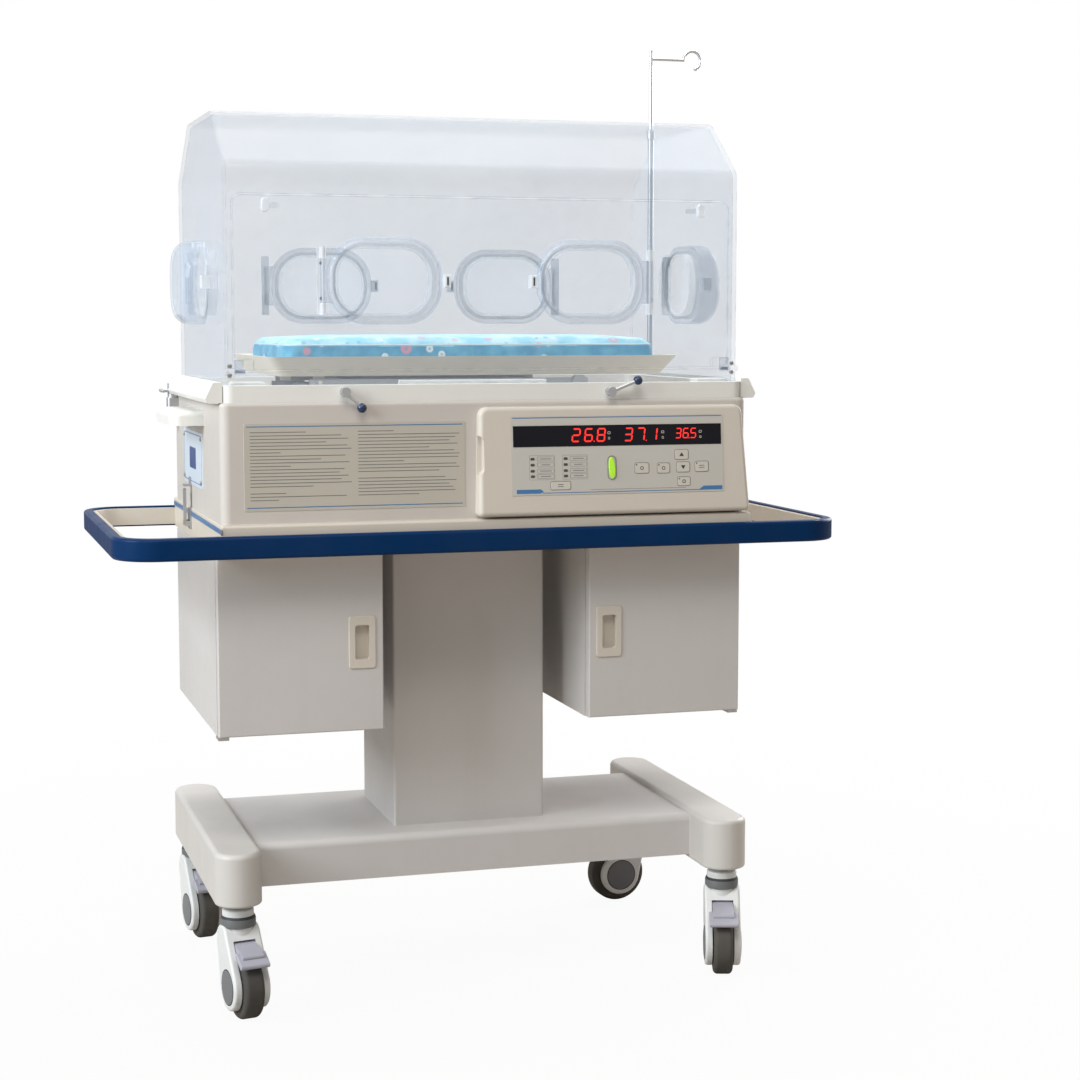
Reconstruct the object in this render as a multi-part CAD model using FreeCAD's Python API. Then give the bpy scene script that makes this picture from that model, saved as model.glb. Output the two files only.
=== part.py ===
import FreeCAD, Part
import math
import os

from FreeCAD import Vector

# Infant incubator on a castered stand, in millimetres.
# X runs along the front, Y from the front to the back and Z up.
# The origin is on the floor, at the middle of the stand.

# Fits and gaps
running = 0.05
seat_gap = 0.3
door_gap = 0.5
panel_gap = 1.0
trim_gap = 0.2

# Casters
wheel_radius = 50.0
tyre_width = 31.0
tyre_shoulder = 7.0
axle_radius = 6.0
tyre_side_gap = 2.0
tyre_top_gap = 3.0
cover_thickness = 11.0
cover_radius = 36.0
caster_trail = 30.0
caster_rise = 121.0
crown_radius = 22.0
crown_lift = 68.0
neck_radius = 24.0
neck_height = 43.0
neck_gap = 8.0
stem_radius = 6.0
stem_in_neck = 48.0
stem_in_foot = 45.0
nut_radius = 11.0
pedal_pin_radius = 3.0
pedal_hub_radius = 6.5
pedal_pin_back = 20.0
pedal_pin_lift = 60.0
pedal_reach = 46.0
pedal_drop = 7.0
pedal_tip_radius = 4.0
pedal_toe_width = 46.0
caster_x = 395.0
caster_y = 226.0
caster_headings = {
    "front_left": 10.0,
    "front_right": -18.0,
    "back_left": 8.0,
    "back_right": -86.0,
}

# Stand
foot_width = 72.0
foot_length = 532.0
foot_height = 82.0
foot_round = 8.0
beam_depth = 344.0
beam_height = 68.0
beam_lift = 7.0
beam_round = 12.0
sheet = 3.0
column_width = 250.0
column_depth = 230.0
column_height = 457.0

# Deck and bumper
bumper_length = 1150.0
bumper_depth = 584.0
bumper_height = 34.0
bumper_corner = 65.0
bumper_thickness = 14.0
bumper_round = 5.0
frame_bar = 8.0
frame_inset = 3.0
deck_length = 836.0
deck_ledge = 11.0
deck_plate = 15.0
deck_skirt = 6.0

# Cabinets
cabinet_inner_x = 165.0
cabinet_overhang = 2.0
cabinet_outer_x = deck_length / 2 + cabinet_overhang
cabinet_depth = 458.0
cabinet_height = 277.0
door_thickness = 18.0
door_stile = 10.0
pivot_inset = 4.0
pivot_radius = 2.5
pivot_reach = 11.0
pivot_tab = 5.0
pivot_tab_top = 2.5
pivot_tab_width = 16.0
pull_width = 42.0
pull_height = 81.0
pull_plate = 2.0
pull_rim = 3.0
pull_depth = 12.0
pull_wall = 3.0
pull_finger_width = 23.0
pull_finger_height = 53.0
pull_from_inner_edge = 34.0
pull_above_floor = 137.5

# Body and display
deck_margin = 2.0
body_length = deck_length - 2 * deck_margin
body_depth = 522.0
body_height = 180.0
body_wall = 4.0
body_corner = 14.0
body_round = 6.0
slot_length = 34.0
slot_width = 6.0
slot_pitch = 62.0
slot_rows_y = 205.0
case_left = -28.0
case_end_gap = 2.0
case_right = body_length / 2 - case_end_gap
case_lift = 3.0
case_height = 167.0
case_top_inset = 11.0
case_top_depth = 14.0
case_bottom_depth = 27.0
case_round = 7.0
case_wall = 4.0
notch_height = 60.0
notch_depth = 9.0
notch_lift = 64.0
face_left = 24.0
face_right = 369.0
face_lift = 32.0
face_height = 120.0
face_plate = 3.0
window_margin = 3.0
window_height = 32.0
window_drop = 14.0
window_plate = 1.5
grip_length = 190.0
grip_reach = 52.0
grip_height = 23.0
grip_lift = 139.0
grip_back = 5.0
grip_wall = 7.0
grip_round = 9.0

# Toggle latches between the deck and the body
toggle_y = 70.0
toggle_width = 18.0
toggle_plate = 3.0
toggle_length = 56.0
toggle_below_deck = 22.0
toggle_knuckle = 4.5
toggle_pin = 2.0
keeper_height = 15.0

# Hood seat, the frame that the hood stands on
seat_step = 4.0
seat_length = body_length - 2 * seat_step
seat_depth = 512.0
seat_width = 22.0
seat_height = 25.0
seat_corner = 16.0
lip_reach = 24.0
lip_rise = 5.0
lip_drop = 1.0
lip_inset = 6.0
lip_front_y = lip_inset - seat_depth / 2
lip_back_y = 192.0
block_run = 68.0
block_inner_x = seat_length / 2 - block_run
block_length = 50.0
block_depth = 34.0
rail_length = 233.0
rail_middle_x = -22.0
rail_thickness = 10.0
rail_height = 31.0
rail_inset = 30.0
rail_y = seat_depth / 2 - rail_inset

# Hood
hood_step = 11.0
hood_length = body_length - 2 * hood_step
hood_front_step = 15.0
hood_front_y = hood_front_step - seat_depth / 2
hood_back_step = 1.0
hood_back_y = seat_depth / 2 - hood_back_step
hood_wall = 5.0
hood_shoulder = 325.0
hood_height = 411.0
hood_front_slope = 113.0
hood_top_front_y = hood_front_y + hood_front_slope
hood_back_slope = 125.0
hood_top_back_y = hood_back_y - hood_back_slope
hood_bend = 22.0
panel_lift = 20.5
panel_height = 261.0
panel_stile = 13.0
panel_length = hood_length - 2 * panel_stile
panel_corner = 14.0
knuckle_radius = 5.0
knuckle_length = 15.0
leaf_rise = 12.0
leaf_run = 14.0
knuckle_pin = 2.5
knuckle_out = 6.0
latch_inset = 49.0
latch_x = panel_length / 2 - latch_inset
latch_drop = 16.0
latch_width = 12.0
latch_height = 21.0
latch_thickness = 7.0
latch_spindle = 3.0
latch_tongue = 26.0
latch_tongue_width = 8.0
latch_tongue_thickness = 3.0

# Ports
port_spacing = 326.0
port_z = 154.5
port_length = 176.0
port_height = 130.0
port_corner = 58.0
port_rim = 13.0
port_shell = 3.5
port_bulge = 14.0
end_port_bulge = 40.0
end_port_y = 0.0
ring_wall = 4.0
ring_flange = 5.0
ring_plate = 2.0
ring_inside = 11.0
hinge_out = 7.0
hinge_off = 7.5
hinge_radius = 4.5
hinge_pin = 2.0
hinge_length = 100.0
hinge_middle = 66.0
hinge_leaf = 2.5
catch_gap = 1.5
catch_length = 11.0
catch_height = 20.0
catch_depth = 14.0

# Mattress tray and its tilt
tray_length = 662.0
tray_width = 370.0
tray_height = 30.0
tray_taper = 22.0
tray_wall = 4.0
tray_lift = 36.0
mattress_gap = 4.0
mattress_bottom_gap = 0.5
mattress_rise = 24.0
carrier_y = 154.0
carrier_bar = 8.0
carrier_height = 10.0
carrier_axis_z = 26.0
carrier_axis_x = 170.0
tray_axis_x = -246.0
carrier_overhang = 16.0
carrier_pin = 4.0
tray_pin = 3.0
tray_lug = 8.0
bracket_plate = 8.0
bracket_length = 40.0
rest_length = 55.0
lever_shaft = 4.0
shaft_clear = 1.0
lever_left_x = -229.0
lever_left_z = 15.0
lever_right_x = 189.0
lever_right_z = 12.0
lever_length = 34.0
lever_right_length = 46.0
lever_left_angle = -45.0
lever_right_angle = 21.6
lever_arm = 6.0
lever_ball = 7.0
lever_out = 10.0
crank_length = 56.0
crank_width = 5.0
crank_height = 7.0

# Infusion pole
pole_out = 9.0
pole_x = body_length / 2 + pole_out
pole_y = 218.0
socket_width = 20.0
socket_height = 45.0
socket_sleeve = 8.5
socket_sleeve_rise = 24.0
socket_top_below_body = 8.0
pole_radius = 5.0
pole_length = 505.0
pole_collar_radius = 7.5
pole_collar = 16.0
rod_radius = 3.5
rod_in_tube = 320.0
rod_lowering = 110.0
rod_rise = 139.0
rod_arm_drop = 15.0
rod_arm_length = 77.0
hook_radius = 16.0
hook_wire = 2.5
hook_sweep = 245.0
screw_radius = 3.0
screw_length = 12.0
screw_bar = 42.0
screw_bar_radius = 3.0

# Heights worked out from the sizes above
axle_z = wheel_radius
foot_z = axle_z + caster_rise
foot_top = foot_z + foot_height
beam_z = foot_z + beam_lift
beam_top = beam_z + beam_height
deck_z = beam_top + column_height
cabinet_z = deck_z - cabinet_height
plate_z = deck_z + bumper_height
body_z = plate_z + deck_plate
body_top = body_z + body_height
seat_top = body_top + seat_height
hood_z = seat_top + door_gap
panel_z = hood_z + panel_lift
ports_z = hood_z + port_z
tray_z = body_top + tray_lift
case_z = body_z + case_lift

# Depths worked out from the sizes above
body_front = -body_depth / 2
cabinet_front = -cabinet_depth / 2
carcass_front = cabinet_front + door_thickness + door_gap + panel_gap
frame_outer = bumper_thickness
frame_inner = bumper_thickness + frame_bar


def box(x0, x1, y0, y1, z0, z1):
    """Block between two corners, given in any order."""
    low = Vector(min(x0, x1), min(y0, y1), min(z0, z1))
    return Part.makeBox(abs(x1 - x0), abs(y1 - y0), abs(z1 - z0), low)


def rod(radius, start, end):
    """Round bar between two points."""
    a = Vector(*start)
    b = Vector(*end)
    return Part.makeCylinder(radius, (b - a).Length, a, b - a)


def fused(first, *others):
    """One clean solid from several that touch or overlap."""
    return first.fuse(list(others)).removeSplitter()


def corner_arc(before, corner, after, radius):
    """Start, middle and end of the round that replaces a corner."""
    to_before = (before - corner).normalize()
    to_after = (after - corner).normalize()
    half = to_before.getAngle(to_after) / 2
    reach = radius / math.tan(half)
    centre = corner + (to_before + to_after).normalize() * (radius / math.sin(half))
    middle = centre + (corner - centre).normalize() * radius
    return corner + to_before * reach, middle, corner + to_after * reach


def prism(points, radii, plane, low, high):
    """Closed outline with round corners, drawn in a plane and extruded from low to high."""
    if not isinstance(radii, (list, tuple)):
        radii = [radii] * len(points)
    spots = {
        "xy": lambda a, b: Vector(a, b, low),
        "xz": lambda a, b: Vector(a, low, b),
        "yz": lambda a, b: Vector(low, a, b),
    }
    ways = {"xy": Vector(0, 0, 1), "xz": Vector(0, 1, 0), "yz": Vector(1, 0, 0)}
    corners = [spots[plane](a, b) for a, b in points]
    count = len(corners)
    stops = []
    for i in range(count):
        if radii[i] > 0:
            stops.append(corner_arc(corners[i - 1], corners[i], corners[(i + 1) % count], radii[i]))
        else:
            stops.append((corners[i], None, corners[i]))
    edges = []
    for i in range(count):
        start, middle, end = stops[i]
        if middle is not None:
            edges.append(Part.Arc(start, middle, end).toShape())
        following = stops[(i + 1) % count][0]
        if (following - end).Length > 1e-6:
            edges.append(Part.makeLine(end, following))
    return Part.Face(Part.Wire(edges)).extrude(ways[plane] * (high - low))


def slab(cx, cz, length, height, corner, y0, y1):
    """Upright plate with round corners, facing along Y."""
    a, b = length / 2, height / 2
    points = [(cx - a, cz - b), (cx + a, cz - b), (cx + a, cz + b), (cx - a, cz + b)]
    return prism(points, corner, "xz", min(y0, y1), max(y0, y1))


def table(length, depth, corner, z0, z1, cy=0.0):
    """Flat plate with round corners, lying level."""
    a, b = length / 2, depth / 2
    points = [(-a, cy - b), (a, cy - b), (a, cy + b), (-a, cy + b)]
    return prism(points, corner, "xy", z0, z1)


def bean(y1, z1, r1, y2, z2, r2, x0, x1):
    """Two round ends joined by their tangents, drawn in YZ and extruded along X."""
    span = math.hypot(y2 - y1, z2 - z1)
    dy, dz = (y2 - y1) / span, (z2 - z1) / span
    lean = (r1 - r2) / span
    side = math.sqrt(1 - lean * lean)
    touches = []
    for turn in (1, -1):
        ny = lean * dy - turn * side * dz
        nz = lean * dz + turn * side * dy
        touches.append((Vector(x0, y1 + r1 * ny, z1 + r1 * nz), Vector(x0, y2 + r2 * ny, z2 + r2 * nz)))
    first = Part.Arc(touches[0][0], Vector(x0, y1 - r1 * dy, z1 - r1 * dz), touches[1][0])
    last = Part.Arc(touches[1][1], Vector(x0, y2 + r2 * dy, z2 + r2 * dz), touches[0][1])
    outline = Part.Wire([
        first.toShape(),
        Part.makeLine(touches[1][0], touches[1][1]),
        last.toShape(),
        Part.makeLine(touches[0][1], touches[0][0]),
    ])
    return Part.Face(outline).extrude(Vector(x1 - x0, 0, 0))


def edges_at(shape, test):
    """Edges whose middle passes the test."""
    found = []
    for edge in shape.Edges:
        if test(edge.BoundBox.Center, edge):
            found.append(edge)
    return found


def rounded(shape, radius, test):
    """The shape with the chosen edges rounded."""
    return shape.makeFillet(radius, edges_at(shape, test))


def level(edge):
    """True for an edge that lies level."""
    return edge.BoundBox.ZLength < 1e-3


def turned(shape, angle, x=0.0, y=0.0):
    """Copy turned about an upright axis through x, y."""
    copy = shape.copy()
    copy.rotate(Vector(x, y, 0), Vector(0, 0, 1), angle)
    return copy


def moved(shape, x, y, z=0.0):
    """Copy moved by a distance."""
    copy = shape.copy()
    copy.translate(Vector(x, y, z))
    return copy


def mirrored(shape):
    """Copy mirrored from one end of the incubator to the other."""
    return shape.mirror(Vector(0, 0, 0), Vector(1, 0, 0))


def caster_stem():
    """Stem that hangs from a foot, with its nut."""
    low = foot_z - neck_gap - stem_in_neck
    stem = rod(stem_radius, (0, 0, low), (0, 0, foot_z + stem_in_foot))
    nut = rod(nut_radius, (0, 0, foot_z - neck_gap + seat_gap), (0, 0, foot_z))
    return fused(stem, nut)


def caster_housing():
    """Swivelling housing with a cover on each side of the tyre, trailing towards the front."""
    neck_top = foot_z - neck_gap
    inner = tyre_width / 2 + tyre_side_gap
    outer = inner + cover_thickness
    crown_z = axle_z + crown_lift
    covers = bean(-2, crown_z, crown_radius, -caster_trail, axle_z, cover_radius, -outer, outer)
    covers = rounded(covers, 4, lambda c, e: abs(abs(c.x) - outer) < 1e-3)
    neck = rod(neck_radius, (0, 0, neck_top - neck_height), (0, 0, neck_top))
    neck = rounded(neck, 3, lambda c, e: level(e) and c.z > neck_top - 1)
    room = rod(wheel_radius + tyre_top_gap, (-inner, -caster_trail, axle_z), (inner, -caster_trail, axle_z))
    pin_z = axle_z + pedal_pin_lift
    slot = box(-inner, inner, -pedal_pin_back - 45, -10, pin_z - 9, pin_z + 9)
    bore_low = neck_top - stem_in_neck - seat_gap
    bore = rod(stem_radius + running, (0, 0, bore_low), (0, 0, neck_top + 1))
    axle = rod(axle_radius, (-inner - 1, -caster_trail, axle_z), (inner + 1, -caster_trail, axle_z))
    pin = rod(pedal_pin_radius, (-inner - 1, -pedal_pin_back, pin_z), (inner + 1, -pedal_pin_back, pin_z))
    shell = covers.fuse(neck).cut(room).cut(slot).cut(bore)
    return fused(shell, axle, pin)


def caster_pedal():
    """Brake pedal on the housing's cross pin."""
    half = tyre_width / 2 + tyre_side_gap - 1
    pin_z = axle_z + pedal_pin_lift
    tip_y = -pedal_pin_back - pedal_reach
    tip_z = pin_z - pedal_drop
    arm = bean(-pedal_pin_back, pin_z, pedal_hub_radius, tip_y, tip_z, pedal_tip_radius, -half, half)
    toe_half = pedal_toe_width / 2
    toe_y = tip_y - pedal_tip_radius - 6
    toe_z = tip_z - 11
    toe = bean(tip_y + 10, tip_z + 1, pedal_tip_radius, toe_y, toe_z, pedal_tip_radius, -toe_half, toe_half)
    toe = rounded(toe, 1.5, lambda c, e: abs(abs(c.x) - toe_half) < 1e-3)
    pin = rod(pedal_pin_radius + running, (-50, -pedal_pin_back, pin_z), (50, -pedal_pin_back, pin_z))
    return fused(arm, toe).cut(pin)


def caster_wheel():
    """Wheel with a rounded tyre and a boss at each side, turned about its axle."""
    half = tyre_width / 2
    hub_half = half + tyre_side_gap - seat_gap
    bore = axle_radius + running
    boss = bore + 5
    points = [
        (-hub_half, bore), (-hub_half, boss), (-half, boss), (-half, wheel_radius),
        (half, wheel_radius), (half, boss), (hub_half, boss), (hub_half, bore),
    ]
    spots = [Vector(x, 0, r) for x, r in points]
    left = corner_arc(spots[2], spots[3], spots[4], tyre_shoulder)
    right = corner_arc(spots[3], spots[4], spots[5], tyre_shoulder)
    edges = [Part.makeLine(spots[i], spots[i + 1]) for i in range(2)]
    edges.append(Part.makeLine(spots[2], left[0]))
    edges.append(Part.Arc(*left).toShape())
    edges.append(Part.makeLine(left[2], right[0]))
    edges.append(Part.Arc(*right).toShape())
    edges.append(Part.makeLine(right[2], spots[5]))
    edges += [Part.makeLine(spots[i], spots[i + 1]) for i in range(5, 7)]
    edges.append(Part.makeLine(spots[7], spots[0]))
    wheel = Part.Face(Part.Wire(edges)).revolve(Vector(0, 0, 0), Vector(1, 0, 0), 360)
    return moved(wheel, 0, -caster_trail, axle_z)


def casters():
    """Four casters, each at its own heading."""
    nodes = {}
    stems = []
    for place, heading in caster_headings.items():
        x = -caster_x if "left" in place else caster_x
        y = -caster_y if "front" in place else caster_y
        stems.append(moved(caster_stem(), x, y))
        nodes["caster_housing_" + place] = moved(turned(caster_housing(), heading), x, y)
        nodes["brake_pedal_" + place] = moved(turned(caster_pedal(), heading), x, y)
        nodes["wheel_" + place] = moved(turned(caster_wheel(), heading), x, y)
    nodes["caster_stems"] = Part.makeCompound(stems)
    return nodes


def foot(side):
    """Moulded foot with round ends and a blind hole for each caster stem."""
    half = foot_length / 2
    x = side * caster_x
    a = foot_width / 2
    points = [(x - a, -half), (x + a, -half), (x + a, half), (x - a, half)]
    shape = prism(points, a - 0.01, "xy", foot_z, foot_top)
    shape = rounded(shape, foot_round, lambda c, e: level(e) and c.z > foot_top - 1)
    shape = rounded(shape, foot_round / 2, lambda c, e: level(e) and c.z < foot_z + 1)
    for y in (-caster_y, caster_y):
        shape = shape.cut(rod(stem_radius, (x, y, foot_z - 1), (x, y, foot_z + stem_in_foot)))
    return shape


def base_beam():
    """Folded cover between the feet, open below."""
    end = caster_x - foot_width / 2
    a = beam_depth / 2
    outer = box(-end, end, -a, a, beam_z, beam_top)
    outer = rounded(outer, beam_round, lambda c, e: c.z > beam_top - 1 and e.BoundBox.XLength > end)
    inner = box(-end + sheet, end - sheet, -a + sheet, a - sheet, beam_z - 1, beam_top - sheet)
    inner = rounded(inner, beam_round - sheet, lambda c, e: c.z > beam_top - sheet - 1 and e.BoundBox.XLength > end)
    return outer.cut(inner)


def column_cover():
    """Square column from the beam up into the deck."""
    top = body_z - sheet
    outer = table(column_width, column_depth, 4, beam_top, top)
    inner = table(column_width - 2 * sheet, column_depth - 2 * sheet, 2, beam_top - 1, top + 1)
    return outer.cut(inner)


def bumper_ring(outer_inset, inner_inset, z0, z1):
    """Closed ring that follows the bumper's outline."""
    ring = table(bumper_length - 2 * outer_inset, bumper_depth - 2 * outer_inset,
                 bumper_corner - outer_inset, z0, z1)
    hole = table(bumper_length - 2 * inner_inset, bumper_depth - 2 * inner_inset,
                 bumper_corner - inner_inset, z0 - 1, z1 + 1)
    return ring.cut(hole)


def bumper_rail():
    """Blue bumper all round the deck."""
    ring = bumper_ring(0, bumper_thickness, deck_z, plate_z)
    edge = bumper_thickness / 2
    outside = table(bumper_length - 2 * edge, bumper_depth - 2 * edge, bumper_corner - edge, deck_z, plate_z)
    return rounded(ring, bumper_round, lambda c, e: level(e) and not outside.isInside(e.valueAt(e.FirstParameter), 0.1, True))


def deck_frame():
    """Welded deck: the bumper's backing bar, the hollow pan and the top plate."""
    bar = bumper_ring(frame_outer, frame_inner, deck_z + frame_inset, plate_z - frame_inset)
    half_x = deck_length / 2
    half_y = bumper_depth / 2 - frame_inner
    pan = box(-half_x, half_x, -half_y, half_y, deck_z, plate_z)
    room = box(-half_x + deck_skirt, half_x - deck_skirt, -half_y + deck_skirt, half_y - deck_skirt,
               deck_z + sheet, body_z - sheet)
    hole = table(column_width, column_depth, 4, deck_z - 1, deck_z + sheet + 1)
    ledge = half_y + deck_ledge
    plate = box(-half_x, half_x, -ledge, ledge, plate_z, body_z)
    plate = rounded(plate, 4, lambda c, e: c.z > body_z - 1 and level(e))
    return fused(bar, pan, plate).cut(room).cut(hole)


def cabinet(side):
    """Open-fronted cabinet under one end of the deck."""
    back = cabinet_depth / 2
    outer = box(side * cabinet_inner_x, side * cabinet_outer_x, carcass_front, back, cabinet_z, deck_z)
    inner = box(side * (cabinet_inner_x + sheet), side * (cabinet_outer_x - sheet),
                carcass_front - 1, back - sheet, cabinet_z + sheet, deck_z - sheet)
    return outer.cut(inner)


def pivot_spot(side):
    """Where a cabinet door turns."""
    return side * (cabinet_outer_x - pivot_inset), cabinet_front + door_thickness - pivot_inset


def cabinet_pivots():
    """Tab and pin above and below each cabinet door."""
    tabs = []
    for side in (-1, 1):
        x, y = pivot_spot(side)
        inner = side * (cabinet_outer_x - pivot_tab_width)
        outer = side * cabinet_outer_x
        low = box(inner, outer, y - 9, carcass_front + 14, cabinet_z - pivot_tab, cabinet_z)
        low_pin = rod(pivot_radius, (x, y, cabinet_z - 1), (x, y, cabinet_z + pivot_reach))
        top = box(inner, outer, y - 9, carcass_front, deck_z - pivot_tab_top, deck_z)
        top_pin = rod(pivot_radius, (x, y, deck_z - pivot_tab_top - pivot_reach), (x, y, deck_z - 1))
        tabs.append(fused(low, low_pin))
        tabs.append(fused(top, top_pin))
    return Part.makeCompound(tabs)


def pull_spot(side):
    """Middle of a door pull."""
    return side * (cabinet_inner_x + pull_from_inner_edge), cabinet_z + pull_above_floor


def cabinet_door(side):
    """Folded door, hollow behind, with holes for its pivots and its pull."""
    x, y = pivot_spot(side)
    inner = side * (cabinet_inner_x + panel_gap)
    outer = side * cabinet_outer_x
    z0 = cabinet_z + door_gap
    z1 = deck_z - pivot_tab_top - door_gap
    back = cabinet_front + door_thickness
    door = box(inner, outer, cabinet_front, back, z0, z1)
    door = rounded(door, pivot_inset - 0.01,
                   lambda c, e: abs(c.x - outer) < 1e-3 and abs(c.y - back) < 1e-3 and e.BoundBox.ZLength > 1)
    door = rounded(door, 2, lambda c, e: abs(c.y - cabinet_front) < 1e-3)
    room = box(inner + side * sheet, outer - side * door_stile, cabinet_front + sheet, back + 1, z0 + sheet, z1 - sheet)
    px, pz = pull_spot(side)
    hole = slab(px, pz, pull_width - 2 * pull_rim + 2 * trim_gap, pull_height - 2 * pull_rim + 2 * trim_gap,
                3, cabinet_front - 1, cabinet_front + sheet + 1)
    low_bore = rod(pivot_radius + running, (x, y, z0 - 1), (x, y, cabinet_z + pivot_reach + seat_gap))
    top_bore = rod(pivot_radius + running, (x, y, deck_z - pivot_tab_top - pivot_reach - seat_gap), (x, y, z1 + 1))
    return door.cut(room).cut(hole).cut(low_bore).cut(top_bore)


def door_pull(side):
    """Recessed pull: a flat rim with a cup behind it."""
    px, pz = pull_spot(side)
    front = cabinet_front - pull_plate
    rim = slab(px, pz, pull_width, pull_height, 5, front, cabinet_front)
    rim = rounded(rim, 1.2, lambda c, e: abs(c.y - front) < 1e-3)
    cup = slab(px, pz, pull_width - 2 * pull_rim, pull_height - 2 * pull_rim, 3,
               cabinet_front, cabinet_front + pull_depth)
    recess = slab(px, pz, pull_finger_width, pull_finger_height, 4,
                  front - 1, cabinet_front + pull_depth - pull_wall)
    return fused(rim, cup).cut(recess)


def body_housing():
    """Moulded housing for the fan, the heater and the water, open below, with air slots on top."""
    outer = table(body_length, body_depth, body_corner, body_z, body_top)
    outer = rounded(outer, body_round, lambda c, e: level(e) and c.z > body_top - 1)
    inner = table(body_length - 2 * body_wall, body_depth - 2 * body_wall, body_corner - body_wall,
                  body_z - 1, body_top - body_wall)
    shape = outer.cut(inner)
    count = 8
    slots = []
    for i in range(count):
        x = (i - (count - 1) / 2) * slot_pitch
        for y in (-slot_rows_y, slot_rows_y):
            slots.append(box(x - slot_length / 2, x + slot_length / 2, y - slot_width / 2, y + slot_width / 2,
                             body_top - body_wall - 1, body_top + 1))
    return shape.cut(slots)


def lean():
    """Angle at which the display's front leans back."""
    return math.degrees(math.atan((case_bottom_depth - case_top_depth) / case_height))


def leaned(shape):
    """Piece drawn upright on the display's lower front edge, tipped back to its slope."""
    copy = shape.copy()
    copy.rotate(Vector(0, body_front - case_bottom_depth, case_z), Vector(1, 0, 0), -lean())
    return copy


def display_case():
    """Wedge-shaped display housing with a finger notch at its left edge."""
    top = case_z + case_height
    front = body_front - case_bottom_depth
    side = [(body_front, case_z), (front, case_z), (body_front - case_top_depth, top), (body_front, top)]
    wedge = prism(side, 0, "yz", case_left - 1, case_right + 1)
    face = [(case_left, case_z), (case_right, case_z), (case_right - case_top_inset, top), (case_left + 3, top)]
    outline = prism(face, [case_round, case_round, case_round * 2, case_round * 2], "xz", front - 1, body_front)
    case = wedge.common(outline)
    case = rounded(case, case_round, lambda c, e: c.y < body_front - case_top_depth + 1 and e.Length > 60)
    notch = slab(case_left, case_z + notch_lift + notch_height / 2, 2 * notch_depth, notch_height, notch_depth - 0.1,
                 front - 5, body_front - 4)
    pocket = leaned(box(face_left - trim_gap, face_right + trim_gap, front - 5, front + face_plate,
                        case_z + face_lift - trim_gap, case_z + face_lift + face_height + trim_gap))
    return case.cut(notch).cut(pocket)


def display_face():
    """Face plate with a shallow recess for the window."""
    front = body_front - case_bottom_depth
    z0 = case_z + face_lift
    z1 = z0 + face_height
    plate = box(face_left, face_right, front - 0.6, front + face_plate, z0, z1)
    window_top = z1 - window_drop
    recess = box(face_left + window_margin - trim_gap, face_right - window_margin + trim_gap, front - 2, front - 0.6 + window_plate,
                 window_top - window_height - trim_gap, window_top + trim_gap)
    return leaned(plate.cut(recess))


def display_window():
    """Dark window in front of the figures."""
    front = body_front - case_bottom_depth
    window_top = case_z + face_lift + face_height - window_drop
    return leaned(box(face_left + window_margin, face_right - window_margin, front - 1.0, front - 0.6 + window_plate,
                      window_top - window_height, window_top))


def side_grip():
    """Hand grip on the left side of the body, hollow below for the fingers."""
    x0 = -body_length / 2
    x1 = x0 - grip_reach
    y0 = grip_back - grip_length / 2
    y1 = grip_back + grip_length / 2
    z0 = body_z + grip_lift
    points = [(x0, y0), (x1, y0), (x1, y1), (x0, y1)]
    outer = prism(points, [0, grip_round * 2, grip_round * 2, 0], "xy", z0, z0 + grip_height)
    outer = rounded(outer, grip_round, lambda c, e: level(e) and c.z > z0 + grip_height - 1 and c.x < x0 - 1)
    points = [(x0 - grip_wall, y0 + grip_wall), (x1 + grip_wall, y0 + grip_wall),
              (x1 + grip_wall, y1 - grip_wall), (x0 - grip_wall, y1 - grip_wall)]
    inner = prism(points, 6, "xy", z0 - 1, z0 + grip_height - grip_wall)
    return outer.cut(inner)


def toggle_axis_z():
    """Height of the toggle's hinge."""
    return plate_z - toggle_below_deck / 2


def latch_plates():
    """Lower plate with the toggle's pin on the deck, and the keeper on the body, at both ends."""
    a = toggle_width / 2
    x0 = deck_length / 2
    axis_x = x0 + toggle_plate + toggle_knuckle
    z = toggle_axis_z()
    outer = a + 6
    plate = box(x0, x0 + toggle_plate, toggle_y - outer, toggle_y + outer, z - 9, body_z - 2)
    pin = rod(toggle_pin, (axis_x, toggle_y - outer, z), (axis_x, toggle_y + outer, z))
    ears = []
    for y in (toggle_y - outer, toggle_y + a + 1):
        ears.append(box(x0 + toggle_plate - 1, axis_x + 3, y, y + 5, z - 4, z + 4))
    lower = fused(plate, pin, *ears)
    keeper_x = body_length / 2
    keeper_z = z + toggle_length + 4
    keeper = box(keeper_x, keeper_x + toggle_plate, toggle_y - a, toggle_y + a, keeper_z, keeper_z + keeper_height)
    hook = box(keeper_x, axis_x + 3, toggle_y - a, toggle_y + a, keeper_z, keeper_z + toggle_plate)
    keeper = fused(keeper, hook)
    solids = [lower, keeper]
    return Part.makeCompound(solids + [mirrored(s) for s in solids])


def toggle():
    """Toggle lever at the right end, on the lower plate's pin."""
    a = toggle_width / 2
    axis_x = deck_length / 2 + toggle_plate + toggle_knuckle
    z = toggle_axis_z()
    barrel = rod(toggle_knuckle - 0.5, (axis_x, toggle_y - a, z), (axis_x, toggle_y + a, z))
    plate = box(axis_x, axis_x + toggle_plate, toggle_y - a, toggle_y + a, z, z + toggle_length)
    plate = rounded(plate, 4, lambda c, e: c.z > z + toggle_length - 1 and e.BoundBox.XLength > 1 and e.BoundBox.YLength < 1)
    pin = rod(toggle_pin + running, (axis_x, toggle_y - 50, z), (axis_x, toggle_y + 50, z))
    return fused(barrel, plate).cut(pin)


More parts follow.
